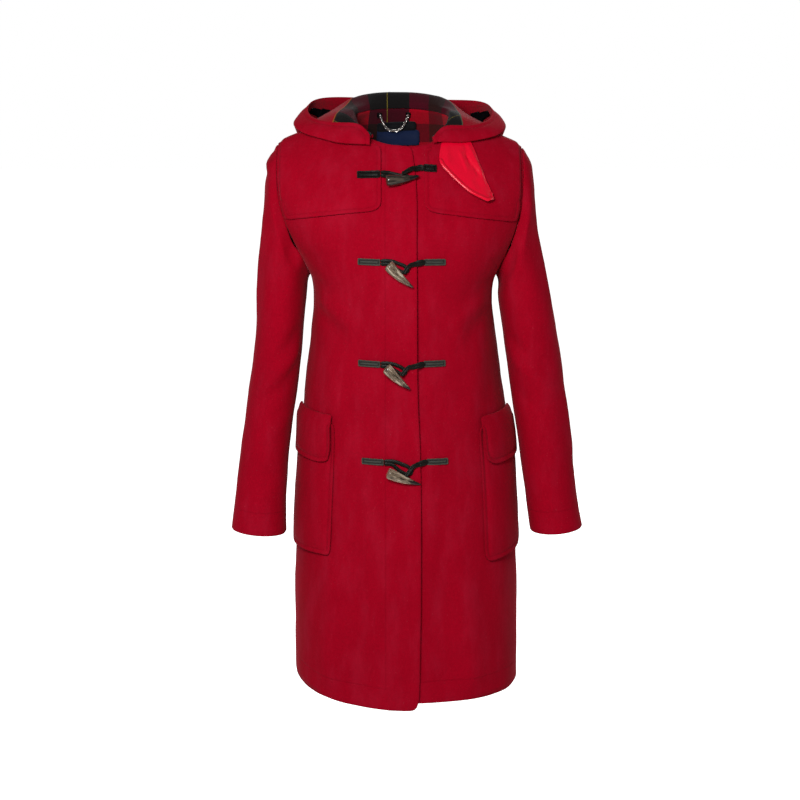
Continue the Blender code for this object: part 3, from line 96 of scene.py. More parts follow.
bm = bmesh.new()
bmesh.ops.create_grid(bm, x_segments=1, y_segments=1, size=FLOOR_HALF)
bmesh.ops.translate(bm, verts=bm.verts, vec=(0.0, FLOOR_BACK, FLOOR_Z))
floor = add_object("floor", mesh_from(bm, "floor"))
pale = bpy.data.materials.new("pale_floor")
pale.use_nodes = True
pale_shader = pale.node_tree.nodes["Principled BSDF"]
pale_shader.inputs["Base Color"].default_value = (0.86, 0.86, 0.86, 1)
pale_shader.inputs["Roughness"].default_value = 0.9
pale_shader.inputs["Emission Color"].default_value = (1.0, 1.0, 1.0, 1)
floor_seen = pale.node_tree.nodes.new("ShaderNodeLightPath").outputs["Is Camera Ray"]
pale.node_tree.links.new(floor_seen, pale_shader.inputs["Emission Strength"])
floor.data.materials.append(pale)
print("floor at", FLOOR_Z)

# %% Hang the lamps
Lamp = namedtuple("Lamp", "name place aim size power")
LAMPS = (
    Lamp("key", (-0.34, -1.78, 0.45), (0.0, 0.0, -0.25), 0.5, 31.5),
    Lamp("side_right", (-2.2, 0.7, 0.4), (-0.2, 0.0, -0.4), 1.2, 8.0),
    Lamp("side_left", (2.2, 0.7, 0.4), (0.2, 0.0, -0.4), 1.2, 6.0),
    Lamp("back", (0.6, 2.6, 0.9), (0.0, 0.0, -0.4), 1.4, 45.0),
)
ROOM_LIGHT = 0.17
ROOM_SEEN = 1.0

for lamp in LAMPS:
    light = bpy.data.lights.new(lamp.name, "AREA")
    light.size = lamp.size
    light.energy = lamp.power
    item = add_object(lamp.name, light)
    item.location = lamp.place
    item.visible_camera = False
    aim = Vector(lamp.aim) - Vector(lamp.place)
    item.rotation_euler = aim.to_track_quat("-Z", "Y").to_euler()

world = bpy.data.worlds.new("studio")
bpy.context.scene.world = world
world.use_nodes = True
room = world.node_tree.nodes["Background"]
room.inputs["Color"].default_value = (1.0, 1.0, 1.0, 1)
seen_directly = world.node_tree.nodes.new("ShaderNodeLightPath").outputs["Is Camera Ray"]
strength = world.node_tree.nodes.new("ShaderNodeMapRange")
strength.inputs["To Min"].default_value = ROOM_LIGHT
strength.inputs["To Max"].default_value = ROOM_SEEN
world.node_tree.links.new(seen_directly, strength.inputs["Value"])
world.node_tree.links.new(strength.outputs["Result"], room.inputs["Strength"])
bpy.context.scene.view_settings.view_transform = "Standard"
print("lamps:", len(LAMPS))

# %% [markdown]
# ## Shared effects as node groups
#
# A finish is easier to keep true when its parts are shared. The nap of the wool, the
# woven check of its inside and a line of stitches are each a node group with named
# sockets. A group only gives out colours, masks and heights. The shader itself stays in
# each material, with its plain numbers set on it. Adding nodes takes many words, so a
# small class holds the calls that come again and again.

# %% Short calls that add nodes


class Graph:
    """Adds nodes to one node tree. A value is a socket, a number or three numbers."""

    def __init__(self, tree):
        self.tree = tree

    def feed(self, socket, value):
        if isinstance(value, bpy.types.NodeSocket):
            self.tree.links.new(value, socket)
        elif socket.type == "RGBA":
            socket.default_value = (*value, 1.0)
        else:
            socket.default_value = value

    def add(self, kind, inputs=None, **settings):
        """Add a node, set it up, feed its inputs and give back its outputs."""
        node = self.tree.nodes.new("ShaderNode" + kind)
        for title, value in settings.items():
            setattr(node, title, value)
        for key, value in (inputs or {}).items():
            self.feed(node.inputs[key], value)
        return node.outputs

    def math(self, operation, *values, clamp=False):
        return self.add("Math", dict(enumerate(values)), operation=operation, use_clamp=clamp)[0]

    def product(self, first, *others):
        for other in others:
            first = self.math("MULTIPLY", first, other)
        return first

    def mix(self, share, a, b, blend="MIX"):
        return self.add("Mix", {0: share, 6: a, 7: b}, data_type="RGBA", blend_type=blend)[2]

    def lay(self, shown, mask, strength, colour):
        """Lay a colour over the one shown, as much as a mask times a strength."""
        return self.mix(self.product(mask, strength), shown, colour)

    def shade(self, colour, tone):
        """Make a colour darker or lighter by a tone near 1."""
        grey = self.add("CombineColor", {0: tone, 1: tone, 2: tone})[0]
        return self.mix(1.0, colour, grey, "MULTIPLY")

    def noise(self, vector, scale, detail=2.0, roughness=0.5):
        inputs = {"Vector": vector, "Scale": scale, "Detail": detail, "Roughness": roughness}
        return self.add("TexNoise", inputs)["Fac"]

    def rise(self, value, low, high):
        """0 up to low and 1 from high on, with a soft start and end."""
        inputs = {"Value": value, "From Min": low, "From Max": high}
        return self.add("MapRange", inputs, interpolation_type="SMOOTHSTEP")["Result"]

    def fall(self, value, low, high):
        return self.math("SUBTRACT", 1.0, self.rise(value, low, high))

    def repeat(self, position, length):
        """How far along its repeat a position lies, from 0 to 1."""
        return self.math("FRACT", self.math("DIVIDE", position, length))

    def split(self, vector):
        return self.add("SeparateXYZ", {0: vector})

    def stretch(self, vector, scale):
        return self.add("Mapping", {"Vector": vector, "Scale": scale})["Vector"]

    def place(self):
        return self.add("TexCoord")["Object"]

    def kept(self, title):
        """A vector that the piece keeps on its points."""
        return self.add("Attribute", attribute_name=title)["Vector"]

    def group(self, other, inputs):
        return self.add("Group", inputs, node_tree=other.tree)

    def ramp(self, share, stops, interpolation="LINEAR"):
        """Colours along a share of 0 to 1, from rows of a start and a colour."""
        node = self.tree.nodes.new("ShaderNodeValToRGB")
        node.color_ramp.interpolation = interpolation
        points = node.color_ramp.elements
        points.remove(points[1])
        for start, colour in stops:
            point = points.new(start) if start else points[0]
            point.color = (*colour, 1.0)
        self.feed(node.inputs["Fac"], share)
        return node.outputs["Color"]


def new_group(name, inputs, outputs):
    """A shader group: its graph, what it is given and what it gives out."""
    tree = bpy.data.node_groups.new(name, "ShaderNodeTree")
    for way, sockets in (("INPUT", inputs), ("OUTPUT", outputs)):
        for title, kind in sockets.items():
            tree.interface.new_socket(title, in_out=way, socket_type="NodeSocket" + kind)
    return Graph(tree), tree.nodes.new("NodeGroupInput").outputs, tree.nodes.new("NodeGroupOutput").inputs


# %% [markdown]
# Melton is woven, then fulled and brushed until the weave is gone under a short nap. Up
# close it is a felt of fine fibres with tiny flecks, and from a step away it is slightly
# cloudy where the nap lies another way. Three sizes of noise do that: fibres of about a
# millimetre, clumps of a few, and clouds of a few centimetres.

# %% Nap of the wool
nap, given, gives = new_group("brushed_nap", {"Vector": "Vector", "Colour": "Color", "Depth": "Float"},
                              {"Colour": "Color", "Height": "Float"})
fibres = nap.noise(given["Vector"], 900.0, 3.0, 0.65)
clumps = nap.noise(given["Vector"], 240.0, 3.0, 0.6)
clouds = nap.noise(given["Vector"], 17.0, 3.0, 0.55)
tone = nap.product(nap.math("MULTIPLY_ADD", fibres, 0.9, 0.55), nap.math("MULTIPLY_ADD", clumps, 0.5, 0.75),
                   nap.math("MULTIPLY_ADD", clouds, 0.34, 0.83))
tone = nap.math("MULTIPLY_ADD", nap.math("SUBTRACT", tone, 1.0), given["Depth"], 1.0)
nap.feed(gives["Colour"], nap.shade(given["Colour"], tone))
nap.feed(gives["Height"], nap.math("ADD", nap.product(fibres, 0.5), nap.product(clumps, 0.7)))
print("nap nodes:", len(nap.tree.nodes))

# %% [markdown]
# A row of machine stitches is a chain of short threads lying in a shallow groove. Each
# stitched piece carries two distances on its points: how far a point is from a first
# line and from a second one that crosses it. The group turns both into threads and into a
# groove, and stops each line where the other one crosses.

# %% Line of stitches
STITCH = 0.0034
THREAD = 0.00045
GROOVE = 0.0024

sewn, given, gives = new_group("stitch_line", {"Away": "Vector", "Run": "Vector"},
                               {"Thread": "Float", "Groove": "Float"})
away = sewn.split(given["Away"])
run = sewn.split(given["Run"])
threads = []
grooves = []
for own, other in ((0, 1), (1, 0)):
    distance = sewn.math("ABSOLUTE", away[own])
    inside = sewn.math("LESS_THAN", away[other], THREAD)
    thread = sewn.fall(distance, THREAD * 0.7, THREAD * 1.5)
    middle = sewn.math("ABSOLUTE", sewn.math("SUBTRACT", sewn.repeat(run[own], STITCH), 0.5))
    threads.append(sewn.product(thread, sewn.fall(middle, 0.32, 0.42), inside))
    grooves.append(sewn.product(sewn.fall(distance, 0.0, GROOVE), inside))
sewn.feed(gives["Thread"], sewn.math("MAXIMUM", *threads))
# The groove dents the cloth, and the materials also darken their colour along it as painted shade.
sewn.feed(gives["Groove"], sewn.math("MAXIMUM", *grooves))
print("stitch nodes:", len(sewn.tree.nodes))

# %% [markdown]
# The wool is double-faced: its inside is woven as a large, simple check of black, red and
# brown bars of uneven width, with one thin yellow line down the middle of each black bar.
# Warp and weft carry the same row of bars. Where two bars cross, each dyes the other: red
# on red stays bright, red on black becomes burgundy and black on black stays black.
# Multiplying the two does that, so the table holds the square root of each colour. A fine
# diagonal twill runs over it.

# %% Woven check
CHECK_REPEAT = 0.170
BLACK_YARN = (0.095, 0.090, 0.090)
RED_YARN = (0.640, 0.045, 0.115)
BROWN_YARN = (0.260, 0.100, 0.095)
BARS = ((0.000, BLACK_YARN), (0.209, RED_YARN), (0.409, BROWN_YARN), (0.591, RED_YARN), (0.791, BLACK_YARN))
YELLOW = (0.22, 0.17, 0.022)
LINE_HALF = 0.0007
TWIST = 0.0026
TWILL = 0.0011

woven, given, gives = new_group("woven_check", {"Weave": "Vector"}, {"Colour": "Color", "Height": "Float"})
weave = woven.split(given["Weave"])
share = woven.repeat(weave[0], CHECK_REPEAT)
warp = woven.ramp(share, BARS, "CONSTANT")
weft = woven.ramp(woven.repeat(weave[1], CHECK_REPEAT), BARS, "CONSTANT")
line = woven.math("LESS_THAN", woven.math("PINGPONG", share, 0.5), LINE_HALF / CHECK_REPEAT)
twist = woven.math("MULTIPLY_ADD", woven.repeat(weave[1], TWIST), 0.5, 0.5)
crossed = woven.mix(woven.product(line, twist), woven.mix(1.0, warp, weft, "MULTIPLY"), YELLOW)
diagonal = woven.math("ADD", weave[0], weave[1])
twill = woven.math("PINGPONG", woven.math("DIVIDE", diagonal, TWILL), 0.5)
woven.feed(gives["Colour"], woven.shade(crossed, woven.math("MULTIPLY_ADD", twill, 0.5, 0.80)))
woven.feed(gives["Height"], twill)
print("groups:", [group.name for group in bpy.data.node_groups])

# %% [markdown]
# ## Materials
#
# Wool is rough and soft: it has no clear highlight, and its nap catches light at grazing
# angles, which the shader's sheen does. Leather is smoother with a fine grain, horn is
# polished over streaks, the plated chain is metal, and satin is smooth thread with a
# silky, slightly stretched shine.

# %% Materials of the cloth
RAISED_NAP = (0.430, 0.018, 0.050)
LINT = (0.560, 0.110, 0.150)
CRIMSON = (0.330, 0.0010, 0.0120)


def tint(colour, share):
    return tuple(min(part * share, 1.0) for part in colour)


def start_material(name, roughness, metallic=0.0, specular=0.5):
    material = bpy.data.materials.new(name)
    material.use_nodes = True
    shader = material.node_tree.nodes["Principled BSDF"]
    shader.inputs["Roughness"].default_value = roughness
    shader.inputs["Metallic"].default_value = metallic
    shader.inputs["Specular IOR Level"].default_value = specular
    return material, Graph(material.node_tree), shader


def cover(graph, shader, colour, height, depth, strength=1.0):
    """Give the shader its colour, and bumps from a height of 0 to 1 that is worth depth in metres."""
    graph.feed(shader.inputs["Base Color"], colour)
    bump = graph.add("Bump", {"Height": height, "Distance": depth, "Strength": strength})
    graph.feed(shader.inputs["Normal"], bump["Normal"])


def stitches(graph):
    """The stitch group fed by the piece's own distances."""
    return graph.group(sewn, {"Away": graph.kept("stitch_away"), "Run": graph.kept("stitch_run")})


def wool_material(name, colour, stitched=True):
    """Brushed wool: nap, a haze of raised fibres, specks of lint, rows of stitches and painted shade in their
    grooves.
    """
    material, graph, shader = start_material(name, 0.95, specular=0.03)
    shader.inputs["Sheen Weight"].default_value = 0.10
    shader.inputs["Sheen Roughness"].default_value = 0.35
    shader.inputs["Sheen Tint"].default_value = (1.0, 0.30, 0.35, 1)
    place = graph.place()
    brushed = graph.group(nap, {"Vector": place, "Colour": colour, "Depth": 0.65})
    height = brushed["Height"]
    haze = graph.rise(graph.noise(graph.stretch(place, (1.0, 1.0, 0.30)), 38.0, 4.0, 0.62), 0.40, 0.78)
    lint = graph.rise(graph.noise(place, 420.0, 2.0, 0.6), 0.66, 0.76)
    shown = graph.lay(brushed["Colour"], haze, 0.20, RAISED_NAP)
    shown = graph.lay(shown, lint, 0.13, LINT)
    if stitched:
        rows = stitches(graph)
        # Painted shade: the colour is darkened along the stitch groove.
        shown = graph.lay(shown, rows["Groove"], 0.07, tint(colour, 0.35))
        shown = graph.lay(shown, rows["Thread"], 0.25, tint(colour, 0.70))
        height = graph.math("MULTIPLY_ADD", rows["Groove"], -2.0, height)
        height = graph.math("MULTIPLY_ADD", rows["Thread"], 0.9, height)
    cover(graph, shader, shown, height, 0.00022, 0.9)
    return material


def satin_material(name, colour, roughness):
    """Smooth thread: fine ribs across, a silky shine, slow waves of tone and painted shade in its stitch
    grooves.
    """
    material, graph, shader = start_material(name, roughness, specular=0.24)
    shader.inputs["Anisotropic"].default_value = 0.4
    place = graph.place()
    ribs = graph.noise(graph.stretch(place, (1.0, 1.0, 7.0)), 420.0)
    rows = stitches(graph)
    shown = graph.mix(ribs, tint(colour, 0.8), tint(colour, 1.15))
    shown = graph.lay(shown, graph.noise(place, 30.0), 0.35, tint(colour, 0.72))
    # Painted shade: the colour is darkened along the stitch groove.
    shown = graph.lay(shown, rows["Groove"], 0.4, tint(colour, 0.4))
    cover(graph, shader, shown, graph.math("MULTIPLY_ADD", rows["Groove"], -2.0, ribs), 0.00012)
    return material


wool = wool_material("crimson_melton", CRIMSON)
wool_edge = wool_material("melton_cut_edge", tint(CRIMSON, 0.85), stitched=False)
satin = satin_material("red_satin", (0.80, 0.0010, 0.026), 0.30)
navy_satin = satin_material("navy_satin", (0.012, 0.022, 0.070), 0.5)
black_satin = satin_material("black_satin", (0.008, 0.008, 0.010), 0.5)
print("cloth materials:", len(bpy.data.materials))

# %% [markdown]
# The inside of the wool shows the check. In the hood it ends at a crimson facing, and a
# thin bound edge runs between them, green on one side of the neck and on the other orange, lightened as a
# painted highlight of the fold.
# The hood keeps on its points how far past that border each one lies. Every other piece
# keeps nothing there and so stays all check.

# %% Material of the wool's inside
# The orange colour is yarn and a painted highlight of the fold together.
ORANGE_YARN_AND_HIGHLIGHT = (0.30, 0.075, 0.012)
GREEN_YARN = (0.075, 0.085, 0.050)
EDGE_YARN = 0.0009
EDGE_SOFT = 0.0003
AT_BORDER = 1.0

check, graph, shader = start_material("check_face", 0.95, specular=0.04)
shader.inputs["Sheen Weight"].default_value = 0.04
weaving = graph.group(woven, {"Weave": graph.kept("weave")})
faced = graph.split(graph.kept("facing"))
past = graph.math("SUBTRACT", faced[0], AT_BORDER)
bound_edge_and_highlight = graph.math("LESS_THAN", graph.math("ABSOLUTE", past), EDGE_YARN)
shown = graph.mix(graph.rise(past, -EDGE_SOFT, EDGE_SOFT), weaving["Colour"], CRIMSON)
# The border line is grey-green yarn on one side, and on the other orange yarn made lighter as a painted
# highlight of the fold.
shown = graph.mix(bound_edge_and_highlight, shown, graph.mix(faced[1], ORANGE_YARN_AND_HIGHLIGHT, GREEN_YARN))
brushed = graph.group(nap, {"Vector": graph.place(), "Colour": shown, "Depth": 0.8})
cover(graph, shader, brushed["Colour"], graph.math("ADD", brushed["Height"], weaving["Height"]), 0.00025)
print("check nodes:", len(graph.tree.nodes))

# %% Materials of the trim
HORN_TONES = ((0.0, (0.480, 0.400, 0.300)), (0.22, (0.230, 0.170, 0.115)), (0.45, (0.075, 0.050, 0.032)),
              (0.58, (0.240, 0.180, 0.125)), (0.80, (0.050, 0.034, 0.022)), (1.0, (0.012, 0.010, 0.009)))
DARK_HORN_TONES = ((0.0, (0.070, 0.052, 0.038)), (0.35, (0.016, 0.012, 0.010)),
                   (0.62, (0.034, 0.023, 0.016)), (1.0, (0.004, 0.004, 0.004)))
TIP_STARTS = 0.026
TIP_ENDS = 0.050


def leather_material(name, colour, roughness, specular):
    """Smooth leather: creased cells of grain, worn lighter spots, and stitched edges with painted shade in
    their grooves.
    """
    material, graph, shader = start_material(name, roughness, specular=specular)
    place = graph.place()
    cells = graph.add("TexVoronoi", {"Vector": place, "Scale": 1100.0})["Distance"]
    wear = graph.noise(place, 160.0, 3.0, 0.6)
    rows = stitches(graph)
    shown = graph.mix(wear, tint(colour, 0.7), tint(colour, 1.7))
    # Painted shade: the colour is darkened along the stitch groove.
    shown = graph.lay(shown, rows["Groove"], 0.85, tint(colour, 0.15))
    height = graph.math("MULTIPLY_ADD", rows["Groove"], -4.0, cells)
    height = graph.math("MULTIPLY_ADD", rows["Thread"], 1.5, height)
    cover(graph, shader, shown, height, 0.00018)
    graph.feed(shader.inputs["Roughness"], graph.math("MULTIPLY_ADD", wear, 0.25, roughness - 0.12))
    return material


def horn_material(name, tones):
    """Polished horn: light and dark streaks along it, darker towards the tip."""
    material, graph, shader = start_material(name, 0.17, specular=0.40)
    shader.inputs["Coat Weight"].default_value = 0.20
    shader.inputs["Coat Roughness"].default_value = 0.08
    grain = graph.kept("grain")
    streaks = graph.noise(graph.stretch(grain, (26.0, 230.0, 230.0)), 1.0, 4.0, 0.62)
    tip = graph.rise(graph.split(grain)[0], TIP_STARTS, TIP_ENDS)
    position = graph.math("ADD", tip, graph.math("MULTIPLY_ADD", streaks, 4.0, -1.70), clamp=True)
    cover(graph, shader, graph.ramp(position, tones), streaks, 0.00010, 0.6)
    return material


leather = leather_material("dark_leather", (0.042, 0.045, 0.036), 0.45, 0.20)
cord_leather = leather_material("cord_leather", (0.0060, 0.0065, 0.0050), 0.38, 0.12)
black_leather = leather_material("black_leather", (0.004, 0.004, 0.005), 0.35, 0.20)
horn = horn_material("polished_horn", HORN_TONES)
dark_horn = horn_material("dark_horn", DARK_HORN_TONES)

chrome, graph, shader = start_material("plated_chain", 0.22, metallic=1.0)
spots = graph.noise(graph.place(), 300.0)
graph.feed(shader.inputs["Base Color"], graph.mix(spots, (0.86, 0.80, 0.76), (0.96, 0.94, 0.92)))
graph.feed(shader.inputs["Roughness"], graph.math("MULTIPLY_ADD", spots, 0.2, 0.12))
print("materials:", len(bpy.data.materials))

# %% [markdown]
# ## Dressing a wall of cloth
#
# Each plain wall is a coarse closed skin: an outer face, an inner face a couple of
# millimetres behind it, and a narrow rim. A copy of it is merged, its triangles are
# joined back to quads, and its three parts are told apart by walking over the skin up to
# its sharp edges. Two levels of subdivision make it a smooth curve. Soft creases then
# move the outer face along its normals, and every other point follows the outer point
# next to it, so the cloth keeps its thickness.

# %% Split the skin into outer face, inner face and rim
OUTER, INNER, RIM = 0, 1, 2
MERGE = 0.00002
FLAT_ENOUGH = math.radians(60)
ANY_SHAPE = math.radians(180)
ARM_FROM_X = 0.15
ARM_TOP_Z = -0.27
ARM_AXIS = (0.19, -0.01)
ARM_SPREAD = 0.10
SHOULDER_Z = -0.2
SHOULDER_DROP = 0.05


def away_from_axis(centre, normal):
    """How much a face looks out from the middle of the body or, low at the sides, of a sleeve."""
    axis = Vector((0.0, 0.0, centre.z))
    if abs(centre.x) > ARM_FROM_X and centre.z < ARM_TOP_Z:
        reach = ARM_AXIS[0] + ARM_SPREAD * (ARM_TOP_Z - centre.z)
        axis = Vector((math.copysign(reach, centre.x), ARM_AXIS[1], centre.z))
    elif centre.z > SHOULDER_Z:
        axis.z -= SHOULDER_DROP
    return (centre - axis).dot(normal)


def merged_skin(node):
    """A solid's skin as a bmesh with its doubled points merged."""
    bm = bmesh.new()
    bm.from_mesh(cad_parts[node].data)
    bmesh.ops.remove_doubles(bm, verts=bm.verts, dist=MERGE)
    return bm


def grow_part(waiting, limit):
    """Take one face and all that join it without a sharp edge out of the waiting ones."""
    part = [waiting.pop()]
    for face in part:
        for edge in face.edges:
            if edge.calc_face_angle(0.0) > limit:
                continue
            for near in edge.link_faces:
                if near in waiting:
                    waiting.discard(near)
                    part.append(near)
    return part


def marked_skin(node, faces_out=away_from_axis, sharp_degrees=40.0):
    """A solid's skin in quads, each face marked as outer, inner or rim by its material number."""
    bm = merged_skin(node)
    bmesh.ops.join_triangles(bm, faces=bm.faces, angle_face_threshold=FLAT_ENOUGH,
                             angle_shape_threshold=ANY_SHAPE)

    def area(part):
        return sum(face.calc_area() for face in part)

    def outwards(part):
        return sum(face.calc_area() * faces_out(face.calc_center_median(), face.normal) for face in part)

    waiting = set(bm.faces)
    parts = []
    while waiting:
        parts.append(grow_part(waiting, math.radians(sharp_degrees)))
    for face in bm.faces:
        face.material_index = RIM
    pair = sorted(sorted(parts, key=area)[-2:], key=outwards)
    for kind, part in zip((INNER, OUTER), pair):
        for face in part:
            face.material_index = kind
    return bm


# %% Smooth the skin
CREASE_NAME = "crease_edge"
LONG_EDGE = 0.004
CORNER = math.radians(50)


def subdivided(bm, name, levels):
    """Turn a coarse bmesh into a mesh with its subdivision baked in."""
    coarse = add_object(name + "_coarse", mesh_from(bm, name + "_coarse"))
    subdivide = coarse.modifiers.new("smooth", "SUBSURF")
    subdivide.levels = levels
    subdivide.render_levels = levels
    smooth = bpy.data.meshes.new_from_object(coarse.evaluated_get(bpy.context.evaluated_depsgraph_get()))
    smooth.name = name
    plain = coarse.data
    bpy.data.objects.remove(coarse)
    bpy.data.meshes.remove(plain)
    smooth.attributes.remove(smooth.attributes[CREASE_NAME])
    smooth.shade_smooth()
    return smooth


def smooth_copy(name, node, levels=2, rim_crease=0.55, cuts=0, sharp_degrees=40.0, faces_out=away_from_axis,
                at_seam=lambda middle: False, at_corner=lambda place: False):
    """A subdivided copy of a solid's skin. Cuts divide it first, so that only its edges are rounded."""
    bm = marked_skin(node, faces_out, sharp_degrees)
    if cuts:
        long_edges = [edge for edge in bm.edges if edge.calc_length() > LONG_EDGE]
        bmesh.ops.subdivide_edges(bm, edges=long_edges, cuts=cuts, use_grid_fill=True)
    crease = bm.edges.layers.float.new(CREASE_NAME)
    skin = bm.verts.layers.float.new("skin")
    for edge in bm.edges:
        kinds = {face.material_index for face in edge.link_faces}
        if len(kinds) > 1:
            middle = (edge.verts[0].co + edge.verts[1].co) / 2
            edge[crease] = 1.0 if at_seam(middle) else rim_crease
        elif kinds == {RIM} and edge.calc_face_angle(0.0) > CORNER and at_corner(edge.verts[0].co):
            edge[crease] = 1.0
    for vert in bm.verts:
        vert[skin] = float(OUTER in [face.material_index for face in vert.link_faces])
    return subdivided(bm, name, levels)


# %% Read a mesh as arrays, and write it back
TINY = 1e-12
SKIN_LEVEL = 0.99


def points_of(mesh):
    points = np.zeros(len(mesh.vertices) * 3)
    mesh.vertices.foreach_get("co", points)
    return points.reshape(-1, 3)


def set_points(mesh, points):
    mesh.vertices.foreach_set("co", points.ravel())
    mesh.update()


def outer_normals(mesh):
    """Normals of the outer face alone, so that the two edges of a seam move the same way."""
    normals = np.zeros((len(mesh.vertices), 3))
    for polygon in mesh.polygons:
        if polygon.material_index == OUTER:
            normals[list(polygon.vertices)] += np.array(polygon.normal) * polygon.area
    return normals / np.maximum(np.linalg.norm(normals, axis=1), TINY)[:, None]


def on_outer(mesh):
    """Which points belong to the outer face."""
    skin = np.zeros(len(mesh.vertices))
    mesh.attributes["skin"].data.foreach_get("value", skin)
    return skin > SKIN_LEVEL


def store(mesh, name, *parts):
    """Keep up to three numbers on every point, for the materials to read."""
    rows = np.zeros((len(mesh.vertices), 3), dtype=np.float32)
    for column, part in enumerate(parts):
        rows[:, column] = part
    mesh.attributes.new(name, "FLOAT_VECTOR", "POINT").data.foreach_set("vector", rows.ravel())


# %% Move the cloth by a height, all its points together
FADE_RATE = 3.5
FADE_START = 0.15
SEED_STEPS = (3.1, 7.7, 1.3)
MOST_SHIFT = 0.006


def ease(x):
    x = np.clip(x, 0.0, 1.0)
    return x * x * (3 - 2 * x)


def bell(away, width):
    """1 on a line, falling softly to nothing about two widths from it."""
    return np.exp(-(away / width)**2)


def from_line(points, a, b):
    """Distance of points from the line between a and b, and how far along it each lies."""
    run = np.array(b) - a
    offset = points - a
    way = np.clip(offset @ run / max(run @ run, TINY), 0.0, 1.0)
    return np.linalg.norm(offset - way[:, None] * run, axis=1), way


def crease_heights(points, creases):
    """Height from rows of a start, an end, a width and a height above (ridge) or below 0 (trough)."""
    heights = np.zeros(len(points))
    for a, b, width, height in creases:
        away, way = from_line(points, a, b)
        fade = ease(way * FADE_RATE + FADE_START) * ease((1 - way) * FADE_RATE + FADE_START)
        heights += height * bell(away, width) * fade
    return heights


def soft_waves(points, size, height, seed):
    """Slow uneven waves, as in cloth that has been worn and steamed."""
    shift = Vector([seed * step for step in SEED_STEPS])
    return np.array([height * noise.noise(Vector(point) / size + shift) for point in points])


def shift_skin(mesh, heights_at, limit=MOST_SHIFT):
    """Move outer points along their normals; the others follow the nearest outer point."""
    points = points_of(mesh)
    outer = np.flatnonzero(on_outer(mesh))
    heights = np.clip(heights_at(points[outer]), -limit, limit)
    moves = outer_normals(mesh)[outer] * heights[:, None]
    tree = kdtree.KDTree(len(outer))
    for i, index in enumerate(outer):
        tree.insert(Vector(points[index]), i)
    tree.balance()
    moved = points.copy()
    moved[outer] += moves
    for index in np.flatnonzero(~on_outer(mesh)):
        _, near, _ = tree.find(Vector(points[index]))
        moved[index] += moves[near]
    set_points(mesh, moved)


# %% Finish a piece and hand it to the frame


def finish_piece(mesh, node, slot, *finishes):
    """Make the object, give it its materials and let it stand for its solid."""
    for finish in finishes:
        mesh.materials.append(finish)
    piece = add_object(mesh.name, mesh)
    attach(piece, "root")
    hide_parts(node)
    print(piece.name, "faces", len(mesh.polygons))
    return piece


def finish_cloth(mesh, node, slot, finishes):
    """Finish a piece of cloth."""
    piece = finish_piece(mesh, node, slot, *finishes)


def no_stitches(mesh):
    store(mesh, "stitch_away", 1.0, 1.0)
    store(mesh, "stitch_run")


def set_one_material(mesh):
    for polygon in mesh.polygons:
        polygon.material_index = 0


# %% [markdown]
# ## Body
#
# The two fronts and the back hang from the shoulders and widen to the hem. The wool is
# thick, so it folds in slow, wide troughs: short ones run in from under the arms, long
# shallow ones fall from the pockets and the hips to the hem. The hem is turned up and
# stitched three and a half centimetres above its edge, and the front edge carries a row
# of stitches that holds its facing. Its lap stands a little off the other front. Inside,
# the check runs straight down the back.

# %% Creases of the body
# Each row: start and end as across and up, then the width and the height of the crease.
BODY_CREASES = {
    "front_right": (
        ((-0.135, -0.275), (-0.060, -0.330), 0.012, 0.0022),
        ((-0.138, -0.300), (-0.085, -0.345), 0.010, -0.0018),
        ((-0.120, -0.360), (-0.100, -0.470), 0.016, 0.0018),
        ((-0.110, -0.700), (-0.120, -0.920), 0.020, 0.0035),
        ((-0.070, -0.640), (-0.072, -0.920), 0.018, -0.0025),
        ((-0.040, -0.560), (-0.060, -0.700), 0.014, 0.0012),
        ((-0.022, -0.300), (-0.070, -0.350), 0.012, -0.0012),
        ((-0.030, -0.410), (-0.080, -0.440), 0.014, 0.0012),
        ((-0.0275, -0.230), (-0.0275, -0.960), 0.0035, -0.0011),
        ((-0.0220, -0.250), (-0.0225, -0.960), 0.0045, 0.0007),
    ),
    "front_left": (
        ((0.132, -0.275), (0.070, -0.325), 0.012, 0.0022),
        ((0.135, -0.300), (0.095, -0.350), 0.010, -0.0018),
        ((0.118, -0.350), (0.108, -0.470), 0.016, 0.0020),
        ((0.100, -0.710), (0.112, -0.920), 0.020, 0.0035),
        ((0.060, -0.620), (0.066, -0.920), 0.022, -0.0028),
        ((0.035, -0.470), (0.045, -0.640), 0.016, 0.0014),
        ((0.040, -0.300), (0.085, -0.330), 0.012, -0.0012),
        ((0.0245, -0.180), (0.0245, -0.965), 0.0055, -0.0014),
    ),
    "back": (
        ((-0.135, -0.280), (-0.060, -0.330), 0.014, 0.0025),
        ((0.135, -0.280), (0.060, -0.335), 0.014, 0.0025),
        ((-0.140, -0.310), (-0.090, -0.350), 0.010, -0.0018),
        ((0.140, -0.305), (0.095, -0.345), 0.010, -0.0018),
        ((-0.075, -0.420), (-0.090, -0.920), 0.026, 0.0040),
        ((0.070, -0.440), (0.095, -0.920), 0.026, 0.0038),
        ((0.000, -0.480), (-0.010, -0.920), 0.030, -0.0035),
        ((-0.130, -0.560), (-0.140, -0.920), 0.020, -0.0022),
        ((0.125, -0.600), (0.135, -0.920), 0.020, -0.0022),
    ),
}
BODY_DEPTH = 1.8
# Each row of waves: their size, their height and a seed.
BODY_WAVES = ((0.055, 0.0013, 1.0), (0.022, 0.0006, 10.0))
UNDER_YOKE_Z = -0.16
UNDER_YOKE_FADE = 0.08
UNDER_YOKE_CALM = 0.7
LAP_EDGE = 0.0205
LAP_LIFT = 0.0020
LAP_WIDE = 0.0090
LAP_TOP_Z = -0.05
LAP_FADE = 0.10
print("body creases:", sum(len(creases) for creases in BODY_CREASES.values()))

